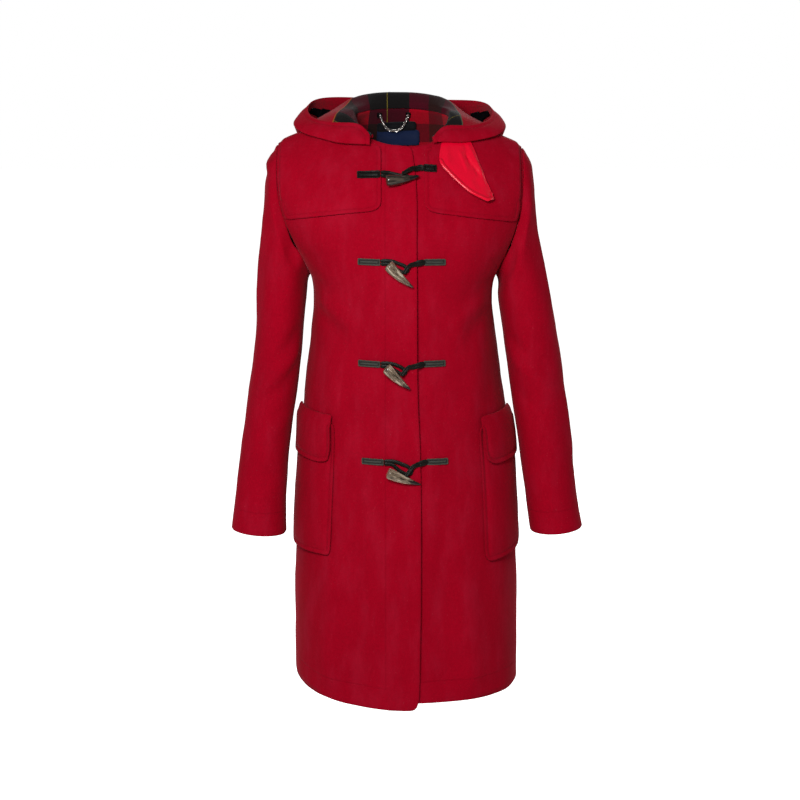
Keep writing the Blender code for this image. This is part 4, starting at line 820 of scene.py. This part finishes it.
# %% Place the check, the hem and the seams
HEM_BAND_Z = -0.86
HEM_COLUMNS = 14
LINE_X = -0.0258
BODY_BLACK_Z = 0.0465
HOOD_BLACK_Z = 0.0060
NECK_Y = -0.012
SIDE_X = 0.10
SIDE_SEAM_Y = 0.0040
SIDE_REACH = 0.0006
SEAM_OVERLAP = 0.00015


def weave_place(points, black_z=BODY_BLACK_Z):
    """How far round and how far up the check a point lies, from the middle of a black bar."""
    radius = np.hypot(points[:, 0], points[:, 1] - NECK_Y)
    angle = np.arctan2(points[:, 0], points[:, 1] - NECK_Y)
    return radius * angle - LINE_X, points[:, 2] - black_z


def hem_height(mesh, x):
    """Height of the hem at x, from the lowest points of the cloth."""
    points = points_of(mesh)
    low = points[points[:, 2] < HEM_BAND_Z]
    edges = np.linspace(low[:, 0].min(), low[:, 0].max(), HEM_COLUMNS)
    places = []
    heights = []
    for a, b in zip(edges, edges[1:]):
        column = low[(low[:, 0] >= a) & (low[:, 0] <= b)]
        if len(column):
            places.append((a + b) / 2)
            heights.append(column[:, 2].min())
    return np.interp(x, places, heights)


def close_side_seams(mesh, lap):
    """Bring the side edges of a panel to the seam, and past it by lap, so no light shows through."""
    points = points_of(mesh)
    at_side = (np.abs(points[:, 0]) > SIDE_X) & (np.abs(points[:, 1] - SIDE_SEAM_Y) < SIDE_REACH)
    points[at_side, 1] = SIDE_SEAM_Y + lap
    set_points(mesh, points)
    return int(at_side.sum())


# %% Dress fronts and back
HEM_STITCH = 0.035
FRONT_STITCH = 0.048
FRONT_STITCH_TOP = -0.02
NECK_SIDE_X = 0.05
HEM_SIDE_X = 0.13
HEM_CORNER_Z = -0.900
BODY_CUTS = {"front_right": (0.330, 0.925), "front_left": (0.335, 0.925), "back": (0.600, 0.925)}


def body_seam(middle):
    return abs(middle.x) > (NECK_SIDE_X if middle.z > HEM_CORNER_Z else HEM_SIDE_X)


for name, cut in BODY_CUTS.items():
    mesh = smooth_copy(name + "_wool", name, at_seam=body_seam, at_corner=lambda place: abs(place.x) > SIDE_X)
    seam_points = close_side_seams(mesh, -SEAM_OVERLAP if name == "back" else SEAM_OVERLAP)
    print(name, "seam points", seam_points)
    hem_z = hem_height(mesh, points_of(mesh)[:, 0])

    def body_heights(points):
        calm = 1 - UNDER_YOKE_CALM * ease((points[:, 2] - UNDER_YOKE_Z) / UNDER_YOKE_FADE)
        waves = sum(soft_waves(points, *wave) for wave in BODY_WAVES)
        heights = BODY_DEPTH * crease_heights(points[:, [0, 2]], BODY_CREASES[name]) + waves * calm
        if name == "front_right":
            behind = (LAP_EDGE - points[:, 0]) / LAP_WIDE
            heights += LAP_LIFT * (1 - ease(behind)) * ease((LAP_TOP_Z - points[:, 2]) / LAP_FADE)
        return heights

    shift_skin(mesh, body_heights)
    points = points_of(mesh)
    x, z = points[:, 0], points[:, 2]
    store(mesh, "weave", *weave_place(points))
    front_away = -1.0
    if name == "front_right":
        front_away = np.where(z > FRONT_STITCH_TOP, -1.0, -(LAP_EDGE - x - FRONT_STITCH))
    store(mesh, "stitch_away", hem_z + HEM_STITCH - z, front_away)
    store(mesh, "stitch_run", x, z)
    under = ["yoke_back" if name == "back" else "back"]
    finish_cloth(mesh, name, "wool", (wool, check, wool_edge))

# %% [markdown]
# ## Yokes, pockets and flaps
#
# These are second layers sewn onto the body along a row of stitches just inside their
# edge. The row pulls the thick wool down, so that the edge outside it stands up as a soft
# rounded welt. The distance from each point to the piece's own rim is measured once. It
# gives both the dip in the cloth and the place of the thread.

# %% Distance to the rim
WELT_WIDTH = 0.0036


def everywhere(middle):
    return True


def rim_distance(mesh, keep=everywhere):
    """Distance of every point to the outer rim edges whose middle is kept."""
    points = points_of(mesh)
    kinds = {}
    for polygon in mesh.polygons:
        for key in polygon.edge_keys:
            kinds.setdefault(key, set()).add(polygon.material_index)
    distance = np.ones(len(points))
    for (a, b), found in kinds.items():
        if OUTER in found and len(found) > 1 and keep((points[a] + points[b]) / 2):
            distance = np.minimum(distance, from_line(points, points[a], points[b])[0])
    return distance


def edge_stitches(mesh, inset, keep=everywhere):
    """Place a row of stitches at an inset from the rim."""
    store(mesh, "stitch_away", rim_distance(mesh, keep) - inset, -1.0)
    store(mesh, "stitch_run", points_of(mesh).sum(axis=1))


# %% Dress the layers on the body
YOKE_SEAM_X = 0.045
YOKE_SEAM_Z = -0.125
LAYER_WAVES = (0.035, 0.0007)
LAYER_SEED = 11.0
Layer = namedtuple("Layer", "node inset dip keep cut creases")
LAYERS = (
    Layer("yoke_front_right", 0.0060, 0.0011, lambda m: m[2] < -0.135 or m[0] > -0.040, (0.165, 0.160),
          (((-0.060, -0.070), (-0.140, -0.110), 0.018, 0.0008),
           ((-0.150, -0.060), (-0.170, -0.140), 0.012, -0.0009))),
    Layer("yoke_front_left", 0.0060, 0.0011, lambda m: m[2] < -0.135 or m[0] < 0.040, (0.165, 0.160),
          (((0.060, -0.130), (0.150, -0.150), 0.014, 0.0007),
           ((0.150, -0.060), (0.168, -0.140), 0.012, -0.0009))),
    Layer("yoke_back", 0.0060, 0.0011, lambda m: m[2] < -0.130, (0.390, 0.180),
          (((-0.120, -0.060), (-0.150, -0.140), 0.016, -0.0010),
           ((0.120, -0.060), (0.150, -0.140), 0.016, -0.0010),
           ((-0.050, -0.120), (0.055, -0.125), 0.016, 0.0010))),
    Layer("pocket_right", 0.0062, 0.0018, everywhere, (0.150, 0.225),
          (((-0.125, -0.560), (-0.150, -0.670), 0.016, 0.0012),)),
    Layer("pocket_left", 0.0062, 0.0018, everywhere, (0.150, 0.225),
          (((0.140, -0.560), (0.160, -0.680), 0.016, 0.0012),)),
    Layer("pocket_flap_right", 0.0062, 0.0016, lambda m: m[2] < -0.480, (0.160, 0.085),
          (((-0.120, -0.480), (-0.160, -0.520), 0.014, 0.0008),)),
    Layer("pocket_flap_left", 0.0062, 0.0016, lambda m: m[2] < -0.485, (0.160, 0.085),
          (((0.130, -0.485), (0.165, -0.525), 0.014, 0.0008),)),
)


def shoulder_seam(middle):
    return middle.z > YOKE_SEAM_Z and abs(middle.x) > YOKE_SEAM_X


for number, layer in enumerate(LAYERS):
    shape = {"at_seam": shoulder_seam} if "yoke" in layer.node else {"levels": 3}
    mesh = smooth_copy(layer.node + "_wool", layer.node, **shape)
    to_rim = rim_distance(mesh, layer.keep)[on_outer(mesh)]

    def layer_heights(points):
        return (crease_heights(points[:, [0, 2]], layer.creases)
                + soft_waves(points, *LAYER_WAVES, LAYER_SEED + number)
                - layer.dip * bell(to_rim - layer.inset, WELT_WIDTH))

    shift_skin(mesh, layer_heights)
    store(mesh, "weave", *weave_place(points_of(mesh)))
    edge_stitches(mesh, layer.inset, layer.keep)
    under = ["back" if layer.node == "yoke_back" else "front_" + layer.node.split("_")[-1]]
    finish_cloth(mesh, layer.node, "wool", (wool, check, wool_edge))

# %% [markdown]
# ## Sleeves
#
# A coat sleeve hangs with a slight bend, so its cloth packs together in short slanting
# folds inside the elbow and runs long and smooth down the outside. At the shoulder the
# cap is eased into the armhole, and small puckers stand up beside the seam. A band of
# stitches goes round the cuff three and a half centimetres from its edge.

# %% Creases of the sleeves
# The middle line of each sleeve, as rows of a height and the place across and back.
SLEEVE_LINE = {
    "sleeve_right": ((-0.150, -0.176, 0.010), (-0.260, -0.191, 0.002), (-0.380, -0.2015, -0.008),
                     (-0.505, -0.2185, -0.012), (-0.660, -0.2330, -0.028)),
    "sleeve_left": ((-0.150, 0.172, 0.010), (-0.260, 0.187, 0.001), (-0.380, 0.208, -0.006),
                    (-0.505, 0.2265, -0.014), (-0.660, 0.2430, -0.030)),
}
SLEEVE_REACH = 0.045
# Each row: start and end as the way round and up, then the width and the height of the crease.
SLEEVE_CREASES = {
    "sleeve_right": (
        ((0.050, -0.110), (0.020, -0.330), 0.012, 0.0022),
        ((0.090, -0.150), (0.062, -0.300), 0.010, -0.0020),
        ((0.085, -0.180), (0.090, -0.250), 0.008, 0.0016),
        ((0.110, -0.330), (0.040, -0.420), 0.011, -0.0020),
        ((0.115, -0.360), (0.045, -0.445), 0.008, 0.0018),
        ((0.112, -0.395), (0.060, -0.450), 0.009, -0.0014),
        ((0.110, -0.470), (0.050, -0.520), 0.011, 0.0014),
        ((0.095, -0.560), (0.030, -0.600), 0.014, -0.0012),
        ((-0.030, -0.160), (-0.070, -0.330), 0.014, 0.0020),
        ((-0.110, -0.300), (-0.040, -0.380), 0.012, -0.0020),
        ((-0.105, -0.350), (-0.040, -0.430), 0.010, 0.0016),
        ((-0.100, -0.480), (-0.030, -0.540), 0.014, -0.0014),
    ),
    "sleeve_left": (
        ((0.050, -0.120), (0.028, -0.320), 0.012, 0.0022),
        ((0.088, -0.140), (0.070, -0.290), 0.010, -0.0018),
        ((0.070, -0.180), (0.078, -0.260), 0.008, 0.0014),
        ((0.112, -0.340), (0.050, -0.410), 0.011, -0.0020),
        ((0.110, -0.375), (0.040, -0.440), 0.009, 0.0018),
        ((0.115, -0.430), (0.055, -0.475), 0.010, -0.0014),
        ((0.030, -0.420), (0.012, -0.560), 0.014, 0.0016),
        ((0.100, -0.540), (0.045, -0.590), 0.014, -0.0012),
        ((-0.030, -0.170), (-0.068, -0.340), 0.014, 0.0020),
        ((-0.112, -0.310), (-0.045, -0.380), 0.012, -0.0020),
        ((-0.105, -0.365), (-0.035, -0.430), 0.010, 0.0016),
        ((-0.100, -0.500), (-0.030, -0.550), 0.014, -0.0014),
    ),
}
CAP_PUCKERS = (
    ((0.2100, -0.050, -0.080), (0.2100, 0.050, -0.080), 0.0070, 0.0026),
    ((0.2180, -0.045, -0.096), (0.2180, 0.045, -0.096), 0.0060, -0.0020),
    ((0.2020, -0.030, -0.062), (0.2020, 0.030, -0.062), 0.0060, -0.0024),
)


def side_of(name):
    return -1.0 if name.endswith("right") else 1.0


def sleeve_turn(points, name):
    """Way round the sleeve from its outer side, forwards positive, and height."""
    levels, xs, ys = np.array(SLEEVE_LINE[name][::-1]).T
    middle_x = np.interp(points[:, 2], levels, xs)
    middle_y = np.interp(points[:, 2], levels, ys)
    turn = np.arctan2(-(points[:, 1] - middle_y), side_of(name) * (points[:, 0] - middle_x))
    return np.stack([SLEEVE_REACH * turn, points[:, 2]], axis=1)


# %% Dress the sleeves
SLEEVE_DEPTH = 1.9
SLEEVE_WAVES = ((0.050, 0.0010, 21.0), (0.020, 0.0004, 31.0))
CUFF_STITCH = 0.036
CUFF_Z = -0.60
SLEEVE_SEAM_Z = -0.55
SLEEVE_CHECK_SHIFT = 0.03

for number, name in enumerate(SLEEVE_LINE):
    side = side_of(name)

    def out_of_sleeve(centre, normal):
        turn = sleeve_turn(np.array(centre)[None, :], name)[0, 0] / SLEEVE_REACH
        return Vector((side * math.cos(turn), -math.sin(turn), 0.0)).dot(normal)

    def sleeve_heights(points):
        puckers = [((side * a[0], *a[1:]), (side * b[0], *b[1:]), *size) for a, b, *size in CAP_PUCKERS]
        return (SLEEVE_DEPTH * crease_heights(sleeve_turn(points, name), SLEEVE_CREASES[name])
                + crease_heights(points, puckers)
                + sum(soft_waves(points, size, height, seed + number) for size, height, seed in SLEEVE_WAVES))

    mesh = smooth_copy(name + "_wool", name, faces_out=out_of_sleeve,
                       at_seam=lambda middle: middle.z > SLEEVE_SEAM_Z)
    shift_skin(mesh, sleeve_heights)
    turn, height = sleeve_turn(points_of(mesh), name).T
    store(mesh, "weave", turn + SLEEVE_CHECK_SHIFT, height)
    store(mesh, "stitch_away", rim_distance(mesh, lambda middle: middle[2] < CUFF_Z) - CUFF_STITCH, -1.0)
    store(mesh, "stitch_run", turn, height)
    under = ["front_" + name.split("_")[-1], "back"]
    finish_cloth(mesh, name, "wool", (wool, check, wool_edge))

# %% [markdown]
# ## Hood
#
# The hood is laid back: its rim opens upwards round the neck, and its back sags into a
# pouch. Inside it the check shows in the middle, behind the neck. Its two sides are faced
# in crimson, and where facing and check meet, a line of orange yarn lightened by a painted
# highlight of the fold shows on one side and a grey-green one on the other. Each point keeps how far past
# that border it lies.

# %% Creases and borders of the hood
HOOD_MIDDLE = Vector((0.0, 0.085, -0.020))
HOOD_STITCH = 0.0070
HOOD_DIP = 0.0007
HOOD_CALM = 0.02
HOOD_WAVES = (0.045, 0.0011, 41.0)
HOOD_SHARP = 58.0
LEAN = 0.2217
# The border of check and facing, as rows of a level and a place across.
CHECK_BORDER_RIGHT = ((-0.030, -0.112), (-0.006, -0.105), (0.0205, -0.0876), (0.042, -0.0762),
                      (0.050, -0.0616))
CHECK_BORDER_LEFT = ((-0.020, 0.092), (0.000, 0.088), (0.017, 0.0812), (0.029, 0.0715), (0.040, 0.0601),
                     (0.054, 0.0358))
HOOD_CREASES = (
    ((-0.150, 0.020, -0.020), (-0.080, -0.075, -0.030), 0.010, 0.0016),
    ((-0.155, 0.060, -0.030), (-0.070, -0.080, -0.040), 0.008, -0.0010),
    ((0.145, 0.020, -0.025), (0.085, -0.070, -0.030), 0.010, 0.0014),
    ((-0.150, 0.110, -0.020), (-0.110, 0.170, -0.090), 0.014, 0.0020),
    ((0.140, 0.110, -0.020), (0.105, 0.170, -0.090), 0.014, 0.0020),
    ((-0.060, 0.190, -0.060), (-0.050, 0.190, -0.200), 0.016, 0.0022),
    ((0.060, 0.190, -0.060), (0.045, 0.190, -0.200), 0.016, 0.0020),
    ((-0.010, 0.195, -0.100), (0.010, 0.190, -0.220), 0.014, -0.0018),
)
print("hood creases:", len(HOOD_CREASES))

# %% Dress the hood


def out_of_hood(centre, normal):
    return (centre - HOOD_MIDDLE).dot(normal)


mesh = smooth_copy("hood_wool", "hood", sharp_degrees=HOOD_SHARP, faces_out=out_of_hood)
to_rim = rim_distance(mesh)[on_outer(mesh)]


def hood_heights(points):
    folds = crease_heights(points, HOOD_CREASES) + soft_waves(points, *HOOD_WAVES)
    return folds * ease(to_rim / HOOD_CALM) - HOOD_DIP * bell(to_rim - HOOD_STITCH, WELT_WIDTH)


shift_skin(mesh, hood_heights)
edge_stitches(mesh, HOOD_STITCH)
points = points_of(mesh)
store(mesh, "weave", *weave_place(points, HOOD_BLACK_Z))
level = points[:, 2] + points[:, 1] * LEAN
past_right = np.interp(level, *zip(*CHECK_BORDER_RIGHT)) - points[:, 0]
past_left = points[:, 0] - np.interp(level, *zip(*CHECK_BORDER_LEFT))
store(mesh, "facing", AT_BORDER + np.maximum(past_right, past_left), past_left > past_right)
finish_cloth(mesh, "hood", "wool", (wool, check, wool_edge))

# %% [markdown]
# ## Throat tab
#
# A four-cornered tab hangs from under the hood. Its wool side is hidden: what shows is a
# facing of red satin, which pulls into long thin folds from its top edge to its tip and
# rolls over a cord along its lower edge. Its outline has sharp corners, so the plain tab
# is cut finer before it is smoothed: then only the last few millimetres are rounded.

# %% Dress the tab
TAB_FOLDS = (
    ((0.099, -0.042), (0.125, -0.093), 0.0028, 0.0016),
    ((0.094, -0.038), (0.105, -0.081), 0.0026, -0.0013),
    ((0.086, -0.050), (0.099, -0.083), 0.0026, 0.0011),
    ((0.092, -0.050), (0.119, -0.092), 0.0024, -0.0014),
    ((0.117, -0.056), (0.140, -0.117), 0.0030, 0.0016),
    ((0.113, -0.056), (0.133, -0.108), 0.0026, -0.0016),
    ((0.109, -0.090), (0.121, -0.108), 0.0060, -0.0014),
    ((0.066, -0.045), (0.070, -0.074), 0.0050, 0.0008),
)
TAB_ROLL = 0.0017
ROLL_WIDTH = 0.0026
ROLL_STITCH = 2.2 * ROLL_WIDTH
LOWER_EDGE = (0.054, -0.065)
LOWER_SLOPE = -0.635


def on_lower_edge(middle):
    return middle[2] < LOWER_EDGE[1] + LOWER_SLOPE * (middle[0] - LOWER_EDGE[0])


for node, slot, finish, edge, rolled in (("throat_tab", "wool", wool, wool_edge, 0.0),
                                         ("throat_tab_facing", "satin", satin, satin, TAB_ROLL)):
    mesh = smooth_copy(node + "_cloth", node, levels=3, rim_crease=0.92, cuts=1)
    to_edge = rim_distance(mesh, on_lower_edge)[on_outer(mesh)]
    roll = rolled * bell(to_edge - ROLL_WIDTH, ROLL_WIDTH)
    shift_skin(mesh, lambda points: crease_heights(points[:, [0, 2]], TAB_FOLDS) + roll)
    store(mesh, "weave", *weave_place(points_of(mesh)))
    edge_stitches(mesh, ROLL_STITCH, on_lower_edge)
    finish_cloth(mesh, node, slot, (finish, finish, edge))

# %% [markdown]
# ## Leather patches
#
# Each cord is caught under a small oblong of smooth leather, stitched all round a few
# millimetres inside its edge. It is cut finer first too, so that it stays flat. The top
# fastening has a darker strap than the others.

# %% Make the patches
FASTENINGS = (1, 2, 3, 4)
PATCH_INSET = 0.0028


def finish_leather(node, slot, finish, inset, cuts, rim_crease):
    """A small flat piece of leather with a row of stitches at an inset from its edge."""
    mesh = smooth_copy(node + "_leather", node, rim_crease=rim_crease, cuts=cuts)
    edge_stitches(mesh, inset)
    set_one_material(mesh)
    finish_piece(mesh, node, slot, finish)


for number in FASTENINGS:
    finish = cord_leather if number == 1 else leather
    for node in (f"loop_patch_{number}", f"toggle_patch_{number}"):
        finish_leather(node, "leather", finish, PATCH_INSET, cuts=3, rim_crease=0.6)

# %% [markdown]
# ## Cords
#
# A cord is a thong of leather, doubled and stitched, so it has two rounded halves with a
# groove between them. Each strand of the loop is wider than it is thick. Both cords lie
# close on the cloth, and the strap is as wide as its patch where it leaves it.

# %% Make the cords
LOOP_SWELL = 0.0016
STRAP_SWELL = 0.0019
STRAP_GROOVE = 0.0008
STRAP_MIDDLE = 0.02


def swell(mesh, amount):
    """Widen a cord in the plane of the cloth, by an amount in metres at each point."""
    normals = np.zeros(len(mesh.vertices) * 3)
    mesh.vertex_normals.foreach_get("vector", normals)
    sideways = normals.reshape(-1, 3) * (1.0, 0.0, 1.0)
    set_points(mesh, points_of(mesh) + sideways * amount)


def finish_cord(mesh, node):
    no_stitches(mesh)
    set_one_material(mesh)
    finish_piece(mesh, node, "leather", cord_leather)


for number in FASTENINGS:
    node = f"loop_cord_{number}"
    mesh = smooth_copy(node + "_thong", node)
    swell(mesh, LOOP_SWELL)
    finish_cord(mesh, node)

    node = f"toggle_cord_{number}"
    mesh = smooth_copy(node + "_thong", node, levels=3, rim_crease=0.3)
    to_rim = rim_distance(mesh)[on_outer(mesh)]
    half_width = to_rim[to_rim < STRAP_MIDDLE].max()
    shift_skin(mesh, lambda points: -STRAP_GROOVE * bell(to_rim - half_width, STRAP_GROOVE))
    x = points_of(mesh)[:, 0]
    swell(mesh, (STRAP_SWELL * ease((x - x.min()) / (x.max() - x.min())))[:, None])
    finish_cord(mesh, node)

# %% [markdown]
# ## Toggles
#
# A toggle is the tip of a horn: cut blunt and slightly domed at its thick end, tapering
# with a slight bend to a dark tip, and polished. It is turned here as on a lathe: a
# profile is spun once round an axis, and its ends are closed by merging. Then each ring is
# carried to its place on the solid's bent middle line, and slow ripples along it make it
# horn rather than plastic. The top toggle is of a darker horn.

# %% Middle line of a plain toggle
RING_SIZE = 8


def toggle_line(node):
    """Ring centres of a plain toggle from its blunt end to its tip."""
    bm = merged_skin(node)
    points = np.array([vert.co[:] for vert in bm.verts])
    bm.free()
    middle = points.mean(axis=0)
    axis = np.linalg.svd(points - middle)[2][0]
    if axis[0] < 0:
        axis = -axis
    order = np.argsort((points - middle) @ axis)
    return points[order].reshape(-1, RING_SIZE, 3).mean(axis=1)


def point_at(at, marks, line):
    """The point of a line at a distance along it; marks are the distances of its own points."""
    return Vector([float(np.interp(at, marks, column)) for column in line.T])


# %% Turn the toggles
TURNS = 40
PROFILE = ((0.000, 0.00), (0.000, 0.55), (0.004, 0.80), (0.016, 0.93), (0.040, 0.99), (0.100, 1.01),
           (0.200, 0.96), (0.300, 0.88), (0.400, 0.810), (0.480, 0.745), (0.560, 0.675), (0.660, 0.575),
           (0.740, 0.475), (0.820, 0.385), (0.890, 0.290), (0.945, 0.205), (0.980, 0.130), (0.995, 0.060),
           (1.000, 0.00))
TOGGLE_REACH = 0.0086
END_MERGE = 0.00001
RIPPLE = 0.035
RIPPLE_ALONG = 60
RIPPLE_ROUND = 240
RIPPLE_SHIFT = 2.7
GRAIN_SHIFT = 0.05

for number in FASTENINGS:
    centres = toggle_line(f"toggle_{number}")
    blunt, tip = centres[0], centres[-1]
    length = float(np.linalg.norm(tip - blunt))
    along = Vector((tip - blunt) / length)
    out = Vector((0.0, -1.0, 0.0))
    out = (out - along * out.dot(along)).normalized()
    across = along.cross(out)
    shares = [Vector(centre - blunt).dot(along) / length for centre in centres]

    bm = bmesh.new()
    chain = [bm.verts.new((at * length, 0.0, radius * TOGGLE_REACH)) for at, radius in PROFILE]
    lines = [bm.edges.new(pair) for pair in zip(chain, chain[1:])]
    bmesh.ops.spin(bm, geom=chain + lines, cent=(0, 0, 0), axis=(1, 0, 0), angle=2 * math.pi, steps=TURNS,
                   use_merge=True)
    bmesh.ops.remove_doubles(bm, verts=bm.verts, dist=END_MERGE)
    bmesh.ops.recalc_face_normals(bm, faces=bm.faces)
    grain = []
    shift = Vector((number * RIPPLE_SHIFT, 0.0, 0.0))
    for vert in bm.verts:
        x, y, z = vert.co
        grain.append((x, y, z + number * GRAIN_SHIFT))
        ripple = noise.noise(Vector((x * RIPPLE_ALONG, y * RIPPLE_ROUND, z * RIPPLE_ROUND)) + shift)
        vert.co = point_at(x / length, shares, centres) + (across * y + out * z) * (1.0 + RIPPLE * ripple)
    mesh = mesh_from(bm, f"toggle_{number}_horn")
    mesh.shade_smooth()
    store(mesh, "grain", *np.array(grain).T)
    finish_piece(mesh, f"toggle_{number}", "horn", dark_horn if number == 1 else horn)
    print("length", round(length, 4))

# %% [markdown]
# ## Hanger
#
# A short chain hangs in a curve between two black leather tabs on the back of the neck.
# It is a curb chain: oval links, each tilted the other way from the last. One link is a ring
# stretched to an oval, and it is copied along the middle line of the plain chain.

# %% Middle line of the chain
LINK_WIRE = 0.00075
LINK_LONG = 0.0030
LINK_WIDE = 0.0020
LINK_STEP = 0.0037
LINK_TILT = 40
CHAIN_END = 0.0008
CHAIN_BEND = 2.8
CHAIN_POINTS = 400

solid = points_of(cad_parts["hanger_chain"].data)
fit_y = np.polyfit(solid[:, 0], solid[:, 1], 2)
chain_x = np.linspace(solid[:, 0].min() + CHAIN_END, solid[:, 0].max() - CHAIN_END, CHAIN_POINTS)
chain_low = solid[:, 2].min() + LINK_WIDE
chain_drop = solid[:, 2].max() - LINK_WIDE - chain_low
bend = np.abs(np.linspace(-1.0, 1.0, CHAIN_POINTS))**CHAIN_BEND
line = np.stack([chain_x, np.polyval(fit_y, chain_x), chain_low + chain_drop * bend], axis=1)
marks = np.concatenate([[0.0], np.cumsum(np.linalg.norm(np.diff(line, axis=0), axis=1))])
links = int(marks[-1] / LINK_STEP)
print("chain length", round(marks[-1], 4), "links", links + 1)

# %% Link the chain
WIRE_SIDES = 8
LINK_TURNS = 16
NEARBY = 0.001

bm = bmesh.new()
for i in range(links + 1):
    at = marks[-1] * i / links
    ahead = point_at(min(at + NEARBY, marks[-1]), marks, line)
    run = (ahead - point_at(max(at - NEARBY, 0.0), marks, line)).normalized()
    side = run.cross(Vector((0.0, 1.0, 0.0))).normalized()
    tilt = Matrix.Rotation(math.radians(LINK_TILT if i % 2 else -LINK_TILT), 3, "X")
    turn = Matrix((run, side, side.cross(run))).transposed() @ tilt
    ring = bmesh.ops.create_circle(bm, segments=WIRE_SIDES, radius=LINK_WIRE, cap_ends=False)["verts"]
    bmesh.ops.rotate(bm, verts=ring, cent=(0, 0, 0), matrix=Matrix.Rotation(math.pi / 2, 3, "X"))
    bmesh.ops.translate(bm, verts=ring, vec=(LINK_WIDE, 0.0, 0.0))
    wire = list({edge for vert in ring for edge in vert.link_edges})
    before = set(bm.verts) - set(ring)
    bmesh.ops.spin(bm, geom=ring + wire, cent=(0, 0, 0), axis=(0, 0, 1), angle=2 * math.pi, steps=LINK_TURNS,
                   use_merge=True)
    fresh = [vert for vert in bm.verts if vert not in before]
    bmesh.ops.scale(bm, verts=fresh, vec=(LINK_LONG / LINK_WIDE, 1.0, 1.0))
    place = Matrix.Translation(point_at(at, marks, line))
    bmesh.ops.transform(bm, verts=fresh, matrix=place @ turn.to_4x4())
bmesh.ops.recalc_face_normals(bm, faces=bm.faces)
mesh = mesh_from(bm, "hanger_links")
mesh.shade_smooth()
finish_piece(mesh, "hanger_chain", "chain", chrome)

# %% [markdown]
# ## Small black leather, and the labels
#
# The hanger's tabs and the hood's adjusters are smooth black leather. Each buckle is a
# frame round its strap: the middle of its plate is inset and sunk. The two labels are
# satin ribbons, bare, sewn along their ends.

# %% Make tabs, straps and buckles
STRAP_STITCH = 0.0012
FRAME_WIDTH = 0.0020
FRAME_SUNK = 0.0006
FRAME_BEVEL = 0.00035
FRAME_SHARP = math.radians(30)

for node in ("hanger_tab_left", "hanger_tab_right", "hood_strap_left", "hood_strap_right"):
    finish_leather(node, "black_leather", black_leather, STRAP_STITCH, cuts=2, rim_crease=0.5)

for node in ("hood_buckle_left", "hood_buckle_right"):
    bm = marked_skin(node)
    for part in (OUTER, INNER):
        plate = [face for face in bm.faces if face.material_index == part]
        bmesh.ops.inset_region(bm, faces=plate, thickness=FRAME_WIDTH, depth=-FRAME_SUNK,
                               use_even_offset=True)
    rim_edges = [edge for edge in bm.edges if edge.calc_face_angle(0.0) > FRAME_SHARP]
    bmesh.ops.bevel(bm, geom=rim_edges, offset=FRAME_BEVEL, offset_type="OFFSET", segments=2, profile=0.5,
                    affect="EDGES", material=-1)
    mesh = mesh_from(bm, node + "_frame")
    set_one_material(mesh)
    mesh.shade_smooth()
    no_stitches(mesh)
    finish_piece(mesh, node, "black_leather", black_leather)

# %% Make the labels
LABELS = (("maker_label", "label", navy_satin, (0.070, 0.027)),
          ("size_label", "label_black", black_satin, (0.065, 0.015)))
LABEL_STITCH = 0.0016
LABEL_ENDS = (-0.038, 0.018)
LABEL_WAVES = (0.016, 0.0004, 51.0)
LABEL_SHIFT = 0.0006


def at_label_end(middle):
    return middle[0] < LABEL_ENDS[0] or middle[0] > LABEL_ENDS[1]


for node, slot, finish, cut in LABELS:
    mesh = smooth_copy(node + "_ribbon", node, rim_crease=0.8)
    shift_skin(mesh, lambda points: soft_waves(points, *LABEL_WAVES), limit=LABEL_SHIFT)
    edge_stitches(mesh, LABEL_STITCH, at_label_end)
    finish_cloth(mesh, node, slot, (finish,))
    set_one_material(mesh)
